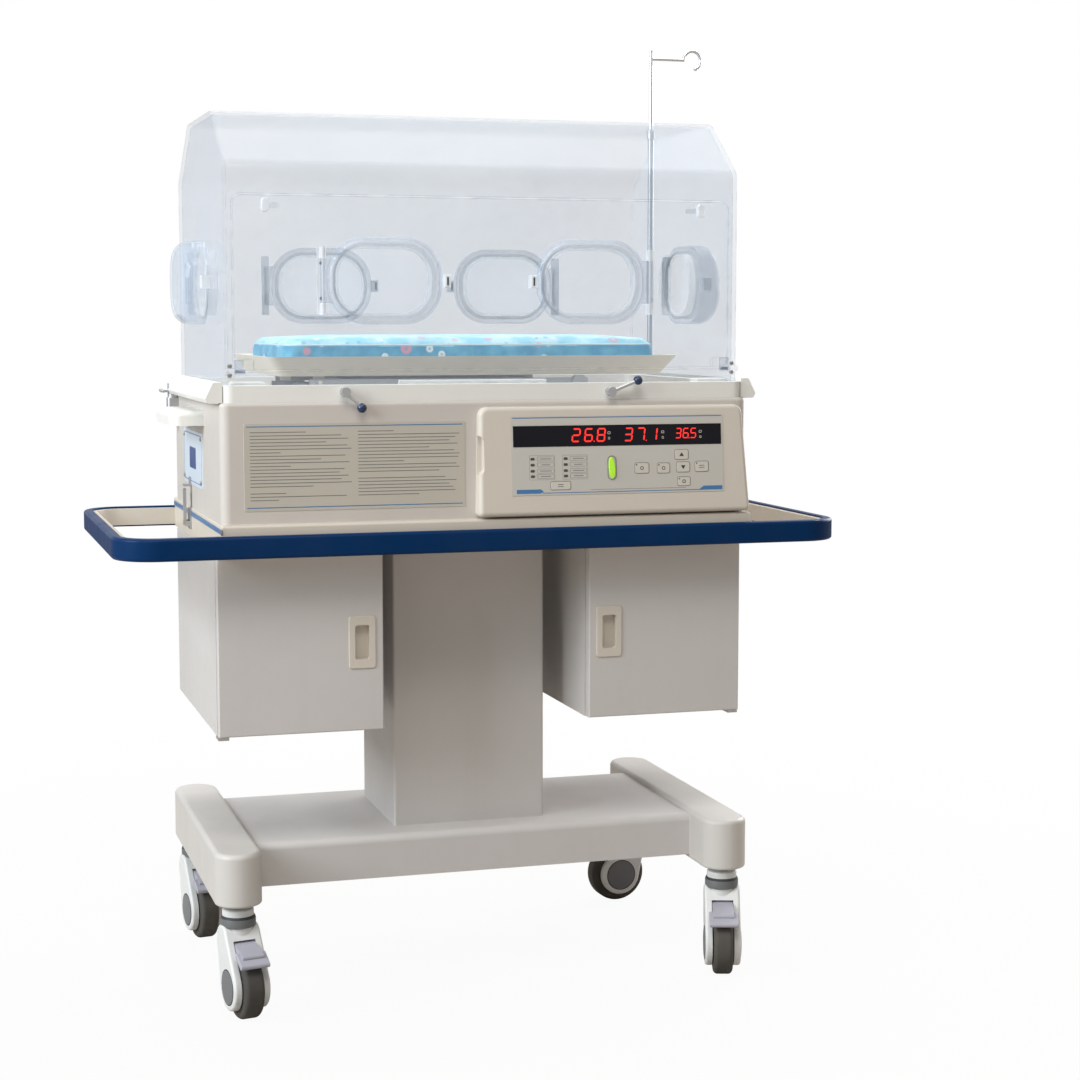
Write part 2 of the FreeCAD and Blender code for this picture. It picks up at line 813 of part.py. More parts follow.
def hood_seat():
    """White frame under the hood, with flared end lips, lock blocks and two cross rails."""
    ring = table(seat_length, seat_depth, seat_corner, body_top, seat_top)
    hole = table(seat_length - 2 * seat_width, seat_depth - 2 * seat_width, seat_corner / 2, body_top - 1, seat_top + 1)
    ring = ring.cut(hole)
    half = seat_length / 2
    top = seat_top + lip_rise
    points = [(half - 1, body_top - lip_drop), (half + lip_reach - 4, body_top - lip_drop),
              (half + lip_reach, body_top + 6), (half + lip_reach / 2, top), (half - 1, top)]
    lip = prism(points, [0, 3, 3, 4, 0], "xz", lip_front_y, lip_back_y)
    lip = lip.cut(table(hood_length + 2 * panel_gap, hood_back_y - hood_front_y + 2 * panel_gap, hood_bend,
                        seat_top, top + 1, (hood_front_y + hood_back_y) / 2))
    lip = lip.cut(box(0, body_length / 2, lip_front_y - 1, lip_back_y + 1, body_top - 5, body_top))
    parts = [lip, mirrored(lip)]
    inner_y = -seat_depth / 2 + seat_width
    for x in (-block_inner_x, block_inner_x):
        outward = block_length if x > 0 else -block_length
        block = box(x, x + outward, inner_y - 1, inner_y + block_depth, body_top, seat_top + lip_rise)
        parts.append(rounded(block, 3, lambda c, e: level(e) and c.z > seat_top + 1))
    end = seat_depth / 2 - seat_width + 1
    for side in (-1, 1):
        y0 = side * (rail_y - rail_thickness / 2)
        rail = box(rail_middle_x - rail_length / 2, rail_middle_x + rail_length / 2, y0, side * end, body_top,
                   seat_top - 4)
        parts.append(rail)
        bar = box(rail_middle_x - rail_length / 2, rail_middle_x + rail_length / 2,
                  y0, side * (rail_y + rail_thickness / 2), seat_top - 5, body_top + rail_height)
        parts.append(rounded(bar, 2, lambda c, e: c.z > body_top + rail_height - 1))
    seat = fused(ring, *parts)
    for x, z in ((lever_left_x, lever_left_z), (lever_right_x, lever_right_z)):
        seat = seat.cut(rod(lever_shaft + running, (x, -seat_depth / 2 - 1, body_top + z),
                            (x, inner_y + 1, body_top + z)))
    return seat


def hood_outline(inset):
    """Hood's end outline in YZ, moved inward by the inset; open at its foot."""
    top = hood_z + hood_height - inset
    shoulder = hood_z + hood_shoulder
    front = hood_front_y + inset
    back = hood_back_y - inset
    front_slope = math.atan2(hood_height - hood_shoulder, hood_top_front_y - hood_front_y)
    back_slope = math.atan2(hood_height - hood_shoulder, hood_back_y - hood_top_back_y)
    front_drop = inset * math.tan(math.pi / 4 - front_slope / 2) if inset else 0.0
    back_drop = inset * math.tan(math.pi / 4 - back_slope / 2) if inset else 0.0
    front_in = inset * math.tan(front_slope / 2)
    back_in = inset * math.tan(back_slope / 2)
    low = hood_z - (1 if inset else 0)
    points = [(front, low), (back, low), (back, shoulder - back_drop), (hood_top_back_y - back_in, top),
              (hood_top_front_y + front_in, top), (front, shoulder - front_drop)]
    bend = hood_bend - inset
    return points, [0, 0, bend, bend, bend, bend]


def port_hole(outside, inside):
    """Opening for one port, in the port's own place."""
    return slab(0, 0, port_length - 2 * port_rim, port_height - 2 * port_rim, port_corner - port_rim, -outside, inside)


def port_places():
    """Where each port sits: name, flipped or not, turn, x and y of the wall's outer face."""
    x = port_spacing / 2
    end = hood_length / 2
    return {
        "front_left": (True, 0, -x, hood_front_y),
        "front_right": (False, 0, x, hood_front_y),
        "back_left": (False, 180, -x, hood_back_y),
        "back_right": (True, 180, x, hood_back_y),
        "end_left": (True, -90, -end, end_port_y),
        "end_right": (False, 90, end, end_port_y),
    }


def at_port(shape, place):
    """Piece drawn at the origin with its face towards the front, put in its place on the hood."""
    flipped, turn, x, y = port_places()[place]
    if flipped:
        shape = mirrored(shape)
    return moved(turned(shape, turn), x, y, ports_z)


def bulge(place):
    """How far a port door stands out from its wall."""
    return end_port_bulge if place.startswith("end") else port_bulge


def port_door(stand_out):
    """Clear domed door, hollow behind, with the hinge barrel at its edge."""
    front = -door_gap - stand_out
    outer = slab(0, 0, port_length, port_height, port_corner, front, -door_gap)
    outer = rounded(outer, stand_out * 0.6, lambda c, e: abs(c.y - front) < 1e-3)
    axis_x = port_length / 2 + hinge_out
    middle = hinge_middle / 2
    ear = box(axis_x - 16, axis_x, -hinge_off - 2.5, -hinge_off + 2.5, -middle, middle)
    barrel = rod(hinge_radius, (axis_x, -hinge_off, -middle), (axis_x, -hinge_off, middle))
    inset = 2 * port_shell
    room = slab(0, 0, port_length - inset, port_height - inset, port_corner - port_shell, front + port_shell, 1)
    room = rounded(room, stand_out * 0.6 - port_shell, lambda c, e: abs(c.y - front - port_shell) < 1e-3)
    pin = rod(hinge_pin + running, (axis_x, -hinge_off, -middle - 1), (axis_x, -hinge_off, middle + 1))
    return fused(outer, ear, barrel).cut(room).cut(pin)


def port_ring():
    """Collar through the wall, with a flange outside."""
    length = port_length - 2 * port_rim
    height = port_height - 2 * port_rim
    corner = port_corner - port_rim
    flange = slab(0, 0, length + 2 * ring_flange, height + 2 * ring_flange, corner + ring_flange, -ring_plate, 0)
    tube = slab(0, 0, length - 0.02, height - 0.02, corner, -ring_plate, hood_wall + ring_inside)
    hole = slab(0, 0, length - 2 * ring_wall, height - 2 * ring_wall, corner - ring_wall,
                -ring_plate - 1, hood_wall + ring_inside + 1)
    return fused(flange, tube).cut(hole)


def port_hinge():
    """Leaf, two knuckles and the pin of one port's hinge, on the wall."""
    axis_x = port_length / 2 + hinge_out
    half = hinge_length / 2
    leaf = box(axis_x - hinge_radius, axis_x + 8, -hinge_leaf, 0, -half, half)
    pin = rod(hinge_pin, (axis_x, -hinge_off, -half), (axis_x, -hinge_off, half))
    parts = [pin]
    for z0, z1 in ((-half, -hinge_middle / 2 - seat_gap), (hinge_middle / 2 + seat_gap, half)):
        parts.append(rod(hinge_radius, (axis_x, -hinge_off, z0), (axis_x, -hinge_off, z1)))
        parts.append(box(axis_x - hinge_radius, axis_x + hinge_radius, -hinge_off, -hinge_leaf, z0, z1))
    return fused(leaf, *parts)


def port_catch():
    """Catch block on the wall beside the door's free edge."""
    x1 = -port_length / 2 - catch_gap
    block = box(x1 - catch_length, x1, -catch_depth, 0, -catch_height / 2, catch_height / 2)
    return rounded(block, 2.5, lambda c, e: c.y < -catch_depth + 1)


def hood_shell():
    """Clear hood with sloped shoulders, a front opening and four port openings."""
    half = hood_length / 2
    points, radii = hood_outline(0)
    outer = prism(points, radii, "yz", -half, half)
    points, radii = hood_outline(hood_wall)
    inner = prism(points, radii, "yz", -half + hood_wall, half - hood_wall)
    shell = outer.cut(inner)
    opening = slab(0, panel_z + panel_height / 2, panel_length, panel_height, panel_corner,
                   hood_front_y - 20, hood_front_y + hood_wall + 1)
    shell = shell.cut(opening)
    for place in port_places():
        if not place.startswith("front"):
            shell = shell.cut(at_port(port_hole(1, hood_wall + 1), place))
    ears = [panel_ear(-1), panel_ear(1)]
    return fused(shell, *ears)


def panel_axis():
    """Hinge line of the front access panel: y and z."""
    return hood_front_y - knuckle_out, panel_z


def panel_end(side):
    """X of the access panel's end."""
    return side * (panel_length / 2 - panel_gap)


def panel_ear(side):
    """Hood's half of a panel hinge, with its pin."""
    y, z = panel_axis()
    x1 = side * hood_length / 2
    x0 = panel_end(side) + side * seat_gap
    barrel = rod(knuckle_radius, (x0, y, z), (x1, y, z))
    foot = box(x0, x1, y, hood_front_y + 0.5, z - knuckle_radius, z + knuckle_radius - 1)
    pin = rod(knuckle_pin, (x0 - side * knuckle_length, y, z), (x1, y, z))
    return fused(barrel, foot, pin)


def front_panel():
    """Clear access panel that drops forward, with its knuckles and two port openings."""
    z0 = panel_z + panel_gap
    z1 = panel_z + panel_height - panel_gap
    panel = slab(0, (z0 + z1) / 2, panel_length - 2 * panel_gap, z1 - z0, panel_corner - panel_gap,
                 hood_front_y, hood_front_y + hood_wall)
    y, z = panel_axis()
    parts = []
    for side in (-1, 1):
        x1 = panel_end(side)
        x0 = x1 - side * knuckle_length
        parts.append(rod(knuckle_radius, (x0, y, z), (x1, y, z)))
        leaf_top = z + knuckle_radius + leaf_rise
        inner = panel_end(side) - side * (panel_corner + leaf_run)
        parts.append(box(x0, x1, y, hood_front_y - panel_gap, z + panel_gap, leaf_top))
        parts.append(box(inner, x1 - side * panel_corner, y, hood_front_y + 0.5, z + panel_gap, leaf_top))
    panel = fused(panel, *parts)
    for side in (-1, 1):
        far = panel_end(side) + side
        near = panel_end(side) - side * (knuckle_length + 1)
        panel = panel.cut(rod(knuckle_pin + running, (near, y, z), (far, y, z)))
    for place in port_places():
        if place.startswith("front"):
            panel = panel.cut(at_port(port_hole(1, hood_wall + 1), place))
    for side in (-1, 1):
        x, z_latch = latch_spot(side)
        panel = panel.cut(rod(latch_spindle + running, (x, hood_front_y - 1, z_latch),
                              (x, hood_front_y + hood_wall + 1, z_latch)))
    return panel


def latch_spot(side):
    """Where a panel latch turns."""
    return side * latch_x, panel_z + panel_height - latch_drop


def panel_latch(side):
    """Turn latch on the panel: an oval knob outside and a tongue inside, shown turned clear."""
    x, z = latch_spot(side)
    inside = hood_front_y + hood_wall
    knob = slab(x, z, latch_width, latch_height, latch_width / 2 - 0.01,
                hood_front_y - seat_gap - latch_thickness, hood_front_y - seat_gap)
    knob = rounded(knob, 2, lambda c, e: c.y < hood_front_y - latch_thickness)
    spindle = rod(latch_spindle, (x, hood_front_y - 1, z), (x, inside + 1, z))
    tongue = slab(x - side * (latch_tongue - latch_tongue_width) / 2, z, latch_tongue, latch_tongue_width,
                  latch_tongue_width / 2 - 0.01, inside + seat_gap, inside + seat_gap + latch_tongue_thickness)
    return fused(knob, spindle, tongue)


def taper(length0, depth0, z0, length1, depth1, z1, corner):
    """Block that widens or narrows from its foot to its top."""
    wires = []
    for length, depth, z in ((length0, depth0, z0), (length1, depth1, z1)):
        wires.append(table(length, depth, corner, z, z + 1).Faces)
    outlines = []
    for faces, z in zip(wires, (z0, z1)):
        for face in faces:
            low = face.BoundBox
            if low.ZLength < 1e-6 and abs(low.ZMin - z) < 1e-6:
                outlines.append(face.OuterWire)
    return Part.makeLoft(outlines, True, True)


def tray():
    """Tapered mattress tray with its two pairs of hinge lugs."""
    outer = taper(tray_length - 2 * tray_taper, tray_width - 2 * tray_taper, tray_z,
                  tray_length, tray_width, tray_z + tray_height, 14)
    shrink = 2 * tray_wall
    slope = tray_taper * tray_wall / tray_height
    inner = taper(tray_length - 2 * tray_taper - shrink + 2 * slope, tray_width - 2 * tray_taper - shrink + 2 * slope,
                  tray_z + tray_wall, tray_length - shrink, tray_width - shrink, tray_z + tray_height + 0.01, 10)
    shape = outer.cut(inner)
    axis_z = body_top + carrier_axis_z
    lugs = []
    for side in (-1, 1):
        outer_y = side * (carrier_y - carrier_bar / 2 - seat_gap)
        inner_y = outer_y - side * tray_lug
        lug = box(tray_axis_x - 8, tray_axis_x + 8, inner_y, outer_y, axis_z - 4.5, tray_z + 1)
        pin = rod(tray_pin, (tray_axis_x, inner_y, axis_z), (tray_axis_x, side * (carrier_y + carrier_bar / 2), axis_z))
        lugs += [lug, pin]
    return fused(shape, *lugs)


def mattress():
    """Plain closed solid for the mattress, sitting in the tray and standing above its rim."""
    gap = tray_wall + mattress_gap
    foot_z0 = tray_z + tray_wall + mattress_bottom_gap
    rim_z = tray_z + tray_height
    length = tray_length - 2 * gap
    depth = tray_width - 2 * gap
    lower = taper(length - 2 * tray_taper, depth - 2 * tray_taper, foot_z0, length, depth, rim_z, 12)
    upper = table(length, depth, 12, rim_z, rim_z + mattress_rise)
    upper = rounded(upper, 7, lambda c, e: level(e) and c.z > rim_z + mattress_rise - 1)
    return fused(lower, upper)


def tray_carrier():
    """Tilting frame under the tray: two bars, two cross members and its pivot pins."""
    axis_z = body_top + carrier_axis_z
    z0 = axis_z - carrier_height / 2
    z1 = axis_z + carrier_height / 2
    x0 = tray_axis_x - carrier_overhang
    x1 = carrier_axis_x + carrier_overhang
    parts = []
    for side in (-1, 1):
        parts.append(box(x0, x1, side * (carrier_y - carrier_bar / 2), side * (carrier_y + carrier_bar / 2), z0, z1))
        inner_y = side * carrier_y
        outer_y = side * (carrier_y + carrier_bar / 2 + seat_gap + bracket_plate)
        parts.append(rod(carrier_pin, (carrier_axis_x, inner_y, axis_z), (carrier_axis_x, outer_y, axis_z)))
    for x in (tray_axis_x + 60, carrier_axis_x - 60):
        parts.append(box(x - 8, x + 8, -carrier_y, carrier_y, z0 + 2, z1 - 2))
    carrier = fused(parts[0], *parts[1:])
    bore = rod(tray_pin + running, (tray_axis_x, -carrier_y - 20, axis_z), (tray_axis_x, carrier_y + 20, axis_z))
    return carrier.cut(bore)


def tilt_brackets():
    """Bearing brackets for the carrier at the right, its rests at the left and the shafts' back bearings."""
    axis_z = body_top + carrier_axis_z
    solids = []
    for side in (-1, 1):
        inner_y = side * (carrier_y + carrier_bar / 2 + seat_gap)
        outer_y = inner_y + side * bracket_plate
        a = bracket_length / 2
        points = [(carrier_axis_x - a, body_top), (carrier_axis_x + a, body_top),
                  (carrier_axis_x + 9, axis_z + 9), (carrier_axis_x - 9, axis_z + 9)]
        plate = prism(points, [0, 0, 6, 6], "xz", min(inner_y, outer_y), max(inner_y, outer_y))
        bore = rod(carrier_pin + running, (carrier_axis_x, -shaft_end(), axis_z), (carrier_axis_x, shaft_end(), axis_z))
        right_z = body_top + lever_right_z
        clear = rod(lever_shaft + shaft_clear, (lever_right_x, -shaft_end(), right_z),
                    (lever_right_x, shaft_end(), right_z))
        solids.append(plate.cut(bore).cut(clear))
        rest_x = tray_axis_x + 5
        rest = box(rest_x - rest_length / 2, rest_x + rest_length / 2, side * (carrier_y - carrier_bar / 2),
                   side * (carrier_y + carrier_bar / 2), body_top, axis_z - carrier_height / 2 - seat_gap)
        gap = lever_shaft + shaft_clear
        shaft_z = body_top + lever_left_z
        rest = rest.cut(box(lever_left_x - gap, lever_left_x + gap, -shaft_end(), shaft_end(), shaft_z - gap, axis_z))
        solids.append(rest)
    for x, z in ((lever_left_x, lever_left_z), (lever_right_x, lever_right_z)):
        y = shaft_end()
        block = box(x - 9, x + 9, y - 8, y, body_top, body_top + z + 7)
        solids.append(block.cut(rod(lever_shaft + running, (x, y - 9, body_top + z), (x, y + 1, body_top + z))))
    return Part.makeCompound(solids)


def shaft_end():
    """Back end of both lever shafts."""
    return carrier_y + carrier_bar / 2 + bracket_plate + 12


def tilt_lever(x, z, length, angle, crank_side, crank_y):
    """Shaft with a ball handle in front and two crank arms under the tray."""
    z += body_top
    front = -seat_depth / 2
    handle_y = front - lever_out - lever_arm / 2
    shaft = rod(lever_shaft, (x, handle_y, z), (x, shaft_end(), z))
    bush = rod(lever_shaft + 3, (x, handle_y - lever_arm / 2 - 1, z), (x, front - seat_gap, z))
    tip_x = x + length * math.cos(math.radians(angle))
    tip_z = z + length * math.sin(math.radians(angle))
    arm = rod(lever_arm / 2, (x, handle_y, z), (tip_x, handle_y, tip_z))
    ball = Part.makeSphere(lever_ball, Vector(tip_x, handle_y, tip_z), Vector(0, 1, 0))
    parts = [bush, arm, ball]
    for side in (-1, 1):
        y0 = side * crank_y
        y1 = y0 + side * crank_width
        end = x + crank_side * crank_length
        parts.append(rod(lever_shaft + 2, (x, y0, z), (x, y1, z)))
        parts.append(slab((x + end) / 2, z, crank_length + crank_height, crank_height, crank_height / 2 - 0.1, y0, y1))
    return fused(shaft, *parts)


def pole_sockets():
    """Socket on each back corner of the body, with a chrome sleeve for a pole."""
    top = body_top - socket_top_below_body
    low = top - socket_height
    outer = pole_x + socket_width / 2
    block = prism([(body_length / 2, pole_y - socket_width / 2), (outer, pole_y - socket_width / 2),
                   (outer, pole_y + socket_width / 2), (body_length / 2, pole_y + socket_width / 2)],
                  [0, 5, 5, 0], "xy", low, top)
    sleeve = rod(socket_sleeve, (pole_x, pole_y, top - 1), (pole_x, pole_y, top + socket_sleeve_rise))
    bore = rod(pole_radius + running, (pole_x, pole_y, low + 4), (pole_x, pole_y, top + socket_sleeve_rise + 1))
    z = screw_z()
    screw_hole = rod(screw_radius + running, (pole_x, pole_y, z), (pole_x + 20, pole_y, z))
    socket = fused(block, sleeve).cut(bore).cut(screw_hole)
    return Part.makeCompound([socket, mirrored(socket)])


def screw_z():
    """Height of the clamp screws."""
    return body_top - socket_top_below_body + socket_sleeve_rise / 2


def clamp_screw():
    """Thumb screw of the right socket, with a cross bar."""
    z = screw_z()
    tip = pole_x + pole_radius + seat_gap
    end = pole_x + socket_sleeve + screw_length
    shaft = rod(screw_radius, (tip, pole_y, z), (end, pole_y, z))
    bar_x = end - screw_bar_radius
    bar = rod(screw_bar_radius, (bar_x, pole_y - screw_bar / 2, z), (bar_x, pole_y + screw_bar / 2, z))
    bar = rounded(bar, 1.5, lambda c, e: abs(abs(c.y - pole_y) - screw_bar / 2) < 1e-3)
    return fused(shaft, bar)


def pole_foot():
    """Bottom of the pole, in its socket."""
    return body_top - socket_top_below_body - socket_height + 4


def pole_tube():
    """Lower tube of the pole with its collar."""
    z0 = pole_foot()
    z1 = z0 + pole_length
    tube = rod(pole_radius, (pole_x, pole_y, z0), (pole_x, pole_y, z1))
    collar = rod(pole_collar_radius, (pole_x, pole_y, z1 - pole_collar), (pole_x, pole_y, z1))
    collar = rounded(collar, 1.5, lambda c, e: level(e))
    bore = rod(rod_radius + running, (pole_x, pole_y, z1 - rod_in_tube - rod_lowering - 10), (pole_x, pole_y, z1 + 1))
    return fused(tube, collar).cut(bore)


def pole_rod():
    """Upper rod with its arm and open hook, sliding in the tube."""
    collar_z = pole_foot() + pole_length
    top = collar_z + rod_rise
    stem = rod(rod_radius, (pole_x, pole_y, collar_z - rod_in_tube), (pole_x, pole_y, top))
    arm_z = top - rod_arm_drop
    hook_x = pole_x + rod_arm_length
    start_x = hook_x - hook_radius
    arm = rod(hook_wire, (pole_x, pole_y, arm_z), (start_x, pole_y, arm_z))
    circle = Part.Circle(Vector(hook_x, pole_y, arm_z), Vector(0, 1, 0), hook_radius)
    start = circle.parameter(Vector(start_x, pole_y, arm_z))
    path = Part.Wire(circle.toShape(start, start + math.radians(hook_sweep)))
    section = Part.Wire(Part.Circle(Vector(start_x, pole_y, arm_z), Vector(0, 0, 1), hook_wire).toShape())
    hook = path.makePipeShell([section], True, True)
    end = path.Edges[0].valueAt(path.Edges[0].LastParameter)
    tip = Part.makeSphere(hook_wire + 1, end)
    root = Part.makeSphere(hook_wire, Vector(start_x, pole_y, arm_z))
    return fused(stem, arm, root, hook, tip)


def hood():
    """Hood with its fixed rings, hinges, catches and four port doors."""
    places = [place for place in port_places() if not place.startswith("front")]
    nodes = {"hood_shell": hood_shell()}
    nodes["hood_port_rings"] = Part.makeCompound([at_port(port_ring(), place) for place in places])
    fittings = []
    for place in places:
        fittings.append(at_port(port_hinge(), place))
        fittings.append(at_port(port_catch(), place))
        nodes["port_door_" + place] = at_port(port_door(bulge(place)), place)
    nodes["hood_port_fittings"] = Part.makeCompound(fittings)
    return nodes


def access_panel():
    """Front panel with its rings, hinges, catches, port doors and latches."""
    places = [place for place in port_places() if place.startswith("front")]
    nodes = {"front_panel": front_panel()}
    nodes["panel_port_rings"] = Part.makeCompound([at_port(port_ring(), place) for place in places])
    fittings = []
    for place in places:
        fittings.append(at_port(port_hinge(), place))
        fittings.append(at_port(port_catch(), place))
        nodes["port_door_" + place] = at_port(port_door(bulge(place)), place)
    nodes["panel_port_fittings"] = Part.makeCompound(fittings)
    nodes["panel_latch_left"] = panel_latch(-1)
    nodes["panel_latch_right"] = panel_latch(1)
    return nodes


def stand():
    """Feet, beam, column, deck, bumper and cabinets."""
    nodes = {
        "foot_left": foot(-1),
        "foot_right": foot(1),
        "base_beam": base_beam(),
        "column_cover": column_cover(),
        "bumper_rail": bumper_rail(),
        "deck_frame": deck_frame(),
        "cabinet_pivots": cabinet_pivots(),
    }
    for side, name in ((-1, "left"), (1, "right")):
        nodes["cabinet_" + name] = cabinet(side)
        nodes["cabinet_door_" + name] = cabinet_door(side)
        nodes["door_pull_" + name] = door_pull(side)
    return nodes


def body():
    """Body housing, display, grip, toggles and pole."""
    right_toggle = toggle()
    right_screw = clamp_screw()
    return {
        "body_housing": body_housing(),
        "display_case": display_case(),
        "display_face": display_face(),
        "display_window": display_window(),
        "side_grip": side_grip(),
        "latch_plates": latch_plates(),
        "toggle_right": right_toggle,
        "toggle_left": mirrored(right_toggle),
        "pole_sockets": pole_sockets(),
        "clamp_screw_right": right_screw,
        "clamp_screw_left": mirrored(right_screw),
        "pole_tube": pole_tube(),
        "pole_rod": pole_rod(),
        "hood_seat": hood_seat(),
    }


def tray_group():
    """Mattress, tray, carrier, brackets and the two tilt levers."""
    left_crank_y = carrier_y + carrier_bar / 2 + seat_gap
    right_crank_y = carrier_y - carrier_bar / 2 - seat_gap - tray_lug - crank_width - 2
    return {
        "mattress": mattress(),
        "mattress_tray": tray(),
        "tray_carrier": tray_carrier(),
        "tilt_brackets": tilt_brackets(),
        "tilt_lever_left": tilt_lever(lever_left_x, lever_left_z, lever_length, lever_left_angle, 1, left_crank_y),
        "tilt_lever_right": tilt_lever(lever_right_x, lever_right_z, lever_right_length, lever_right_angle, -1,
                                       right_crank_y),
    }


os.makedirs("parts", exist_ok=True)
nodes = {}
for group in (casters, stand, body, hood, access_panel, tray_group):
    nodes.update(group())
for name, shape in nodes.items():
    shape.exportStep("parts/" + name + ".step")
    print(name, len(shape.Solids), shape.isValid(), round(shape.Volume / 1000.0, 2))
print(len(nodes), "nodes")
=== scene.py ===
import math

import bmesh
import bpy
from mathutils import Matrix, Vector


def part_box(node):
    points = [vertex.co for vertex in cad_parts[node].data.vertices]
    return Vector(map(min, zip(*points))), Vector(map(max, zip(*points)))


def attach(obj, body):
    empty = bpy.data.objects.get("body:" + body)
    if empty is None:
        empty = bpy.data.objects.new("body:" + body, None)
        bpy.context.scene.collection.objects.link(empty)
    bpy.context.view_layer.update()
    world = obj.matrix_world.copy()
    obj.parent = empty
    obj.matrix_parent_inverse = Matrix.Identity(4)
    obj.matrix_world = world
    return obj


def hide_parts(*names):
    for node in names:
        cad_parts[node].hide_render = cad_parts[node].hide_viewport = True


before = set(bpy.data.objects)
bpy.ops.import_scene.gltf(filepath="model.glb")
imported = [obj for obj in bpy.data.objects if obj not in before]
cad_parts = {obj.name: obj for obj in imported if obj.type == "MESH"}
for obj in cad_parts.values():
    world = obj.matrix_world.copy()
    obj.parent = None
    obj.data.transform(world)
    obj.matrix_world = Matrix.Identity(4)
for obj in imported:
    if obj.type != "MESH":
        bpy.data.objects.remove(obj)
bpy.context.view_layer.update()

MM = 0.001
SHARP_ANGLE = math.radians(35)
SIDES = (("left", -1), ("right", 1))

# Camera, fitted to the straight edges of the incubator
CAMERA_SPOT = (-0.8785, -3.4237, 1.0547)
CAMERA_LENS = 71.63
CAMERA_YAW = 0.2929
CAMERA_PITCH = 0.1023
SENSOR = 36.0

# Faces of the body and the leaning display case, in millimetres as all that follows
BODY_FRONT = -261.0
BODY_BACK = 261.0
BODY_LEFT = -416.0
CASE_FRONT = -288.0
CASE_BOTTOM = 755.0
CASE_SETBACK = 13
CASE_HEIGHT = 167
CASE_LEAN = math.atan(CASE_SETBACK / CASE_HEIGHT)

# How far the display's face and window stand out of the case, how deep trim is sunk into what
# carries it, and how thick print lies
FACE_OUT = 0.6
WINDOW_OUT = 1.0
SUNK = 0.3
PLATE_SUNK = 0.2
PRINT = 0.08
FINE_PRINT = 0.06
FIGURE_RISE = 0.15
FIGURE_LEAN = 0.12

# Plates: left, right, lower and upper edge
RECORD_PLATE = (-382, -44, 771, 901)
RECORD_PLATE_OUT = 0.7
LINE_HALF = 0.7
RULE_HALF = 0.62
RULE_MARGIN = 9
# Shares of the left and right column that each rule fills
RULE_SHARES = (
    (0.55, 0.35), (0.9, 1.0), (0.97, 0.96), (0.75, 0.9), (0.96, 0.98), (1.0, 0.7), (0.3, 0.95),
    (0.94, 1.0), (0.7, 0.99), (0.98, 0.45), (0.4, 0.97), (0.93, 1.0), (0.88, 0.8), (0.97, 0.0),
    (0.9, 0.86), (1.0, 0.97), (0.62, 0.9), (0.0, 0.94), (0.35, 0.96), (0.95, 0.6), (0.28, 0.0),
)
FILTER_PLATE = (-143, 70, 790, 878)
FILTER_PLATE_OUT = 1.2
FILTER_WINDOW = (68, 34)
FILTER_FRAME_INSET = 5
FILTER_SCREW_INSET = 10
FILTER_SCREW = 3.2

# Strip along the deck's left edge
DECK_LEFT = -418.0
STRIP_RUN = (-273, 270)
STRIP_HEIGHT = 739.0
STRIP_WIDTH = 7.0
STRIP_OUT = 1.6

# Slots in the body's back: heights of the rows, first slot, and half a slot's length and height
VENT_ROWS = (800, 824, 848)
VENT_START = -195
VENT_PITCH = 30
VENT_COUNT = 14
VENT_HALF = (11, 3)

# Hood and its ports; screws have the height of their middle and the radius of their head
HOOD_FRONT = -241.0
HOOD_BACK = 255.0
HINGE_X = 260.0
HINGE_SCREWS = (1086, 1138)
HINGE_OUT = 2.5
HINGE_SCREW = 2.4
CATCH_X = 68.0
CATCH_OUT = -255.0
CATCH_IN = 6.0
CATCH_SLOT = (1.3, 6.5)
PORT_MIDDLE = 1112.0
HOOD_SCREW_X = 398.0
HOOD_SCREWS = (972.0, 986.0)
HOOD_SCREW = 3.6

# Balls on the tilt levers: place and radius
LEVER_BALLS = {"left": ((-205.0, -269.0, 923.0), 7.4), "right": ((231.8, -269.0, 960.9), 7.4)}

# Casters: the stem's place and the heading of the axle in degrees
CASTERS = {
    "front_left": ((-395, -226), 10.0), "front_right": ((395, -226), -18.0),
    "back_left": ((-395, 226), 8.0), "back_right": ((395, 226), -86.0),
}
COLLAR_RADIUS = 27.0
COLLAR_HEIGHT = 18.0
COLLAR_DROP = 27.0
COVER_OUT = 28.5
HUB_DISC = 26.0

# Mattress: inset, voxel, cap, slack, gap and sunk depth are in metres
PAD_INSET = (0.012, 0.012, 0.006)
PAD_CORNER = 22
PAD_VOXEL = 0.006
PAD_PRESSURE = 4.0
PAD_CAP = 0.012
PAD_STIFFNESS = 18
PAD_FRAMES = 20
PAD_SLACK = 0.0005
TRAY_GAP = 0.0002
PRINTED_SHARE = 0.72
CROWN = 8.0
PIPING = 1.6
PIPING_SIDES = 8
PIPING_STEP = 12
PIPING_INSET = 6
PIPING_CORNER = 26
PIPING_SUNK = 0.0004

# Studio
# Share of a shadow that clear plastic doesn't cast
CLEAR_SHADOW_LOSS = 0.85
ROOM_LIGHT = 0.28
ROOM_COLOUR = (1.0, 0.95, 0.90, 1.0)
WHITE = (1.0, 1.0, 1.0, 1.0)
GLOSS_LIGHT = 0.5
FLOOR_COLOUR = (180, 172, 163)
FLOOR_SIZE = 12.0
FLOOR_GLOW = 0.95
FLOOR_FADE = (0.5, 2.2)
# Name, place, target, width, height, power and colour of each lamp
LAMPS = (
    ("key_left", (-3.7, -1.1, 2.3), (0, 0, 0.75), 2.2, 2.2, 166.0, (0.88, 0.95, 1.0)),
    ("top_soft", (0.6, 1.3, 3.4), (0, 0, 0.8), 2.6, 2.0, 70.0, (1, 1, 1)),
    ("front_fill", (-0.8, -2.3, 4.0), (0, 0, 0.7), 2.2, 1.6, 68.0, (1.0, 0.96, 0.91)),
    ("right_soft", (2.7, 1.3, 1.8), (0, 0, 0.5), 2.0, 1.6, 60.0, (1, 1, 1)),
)

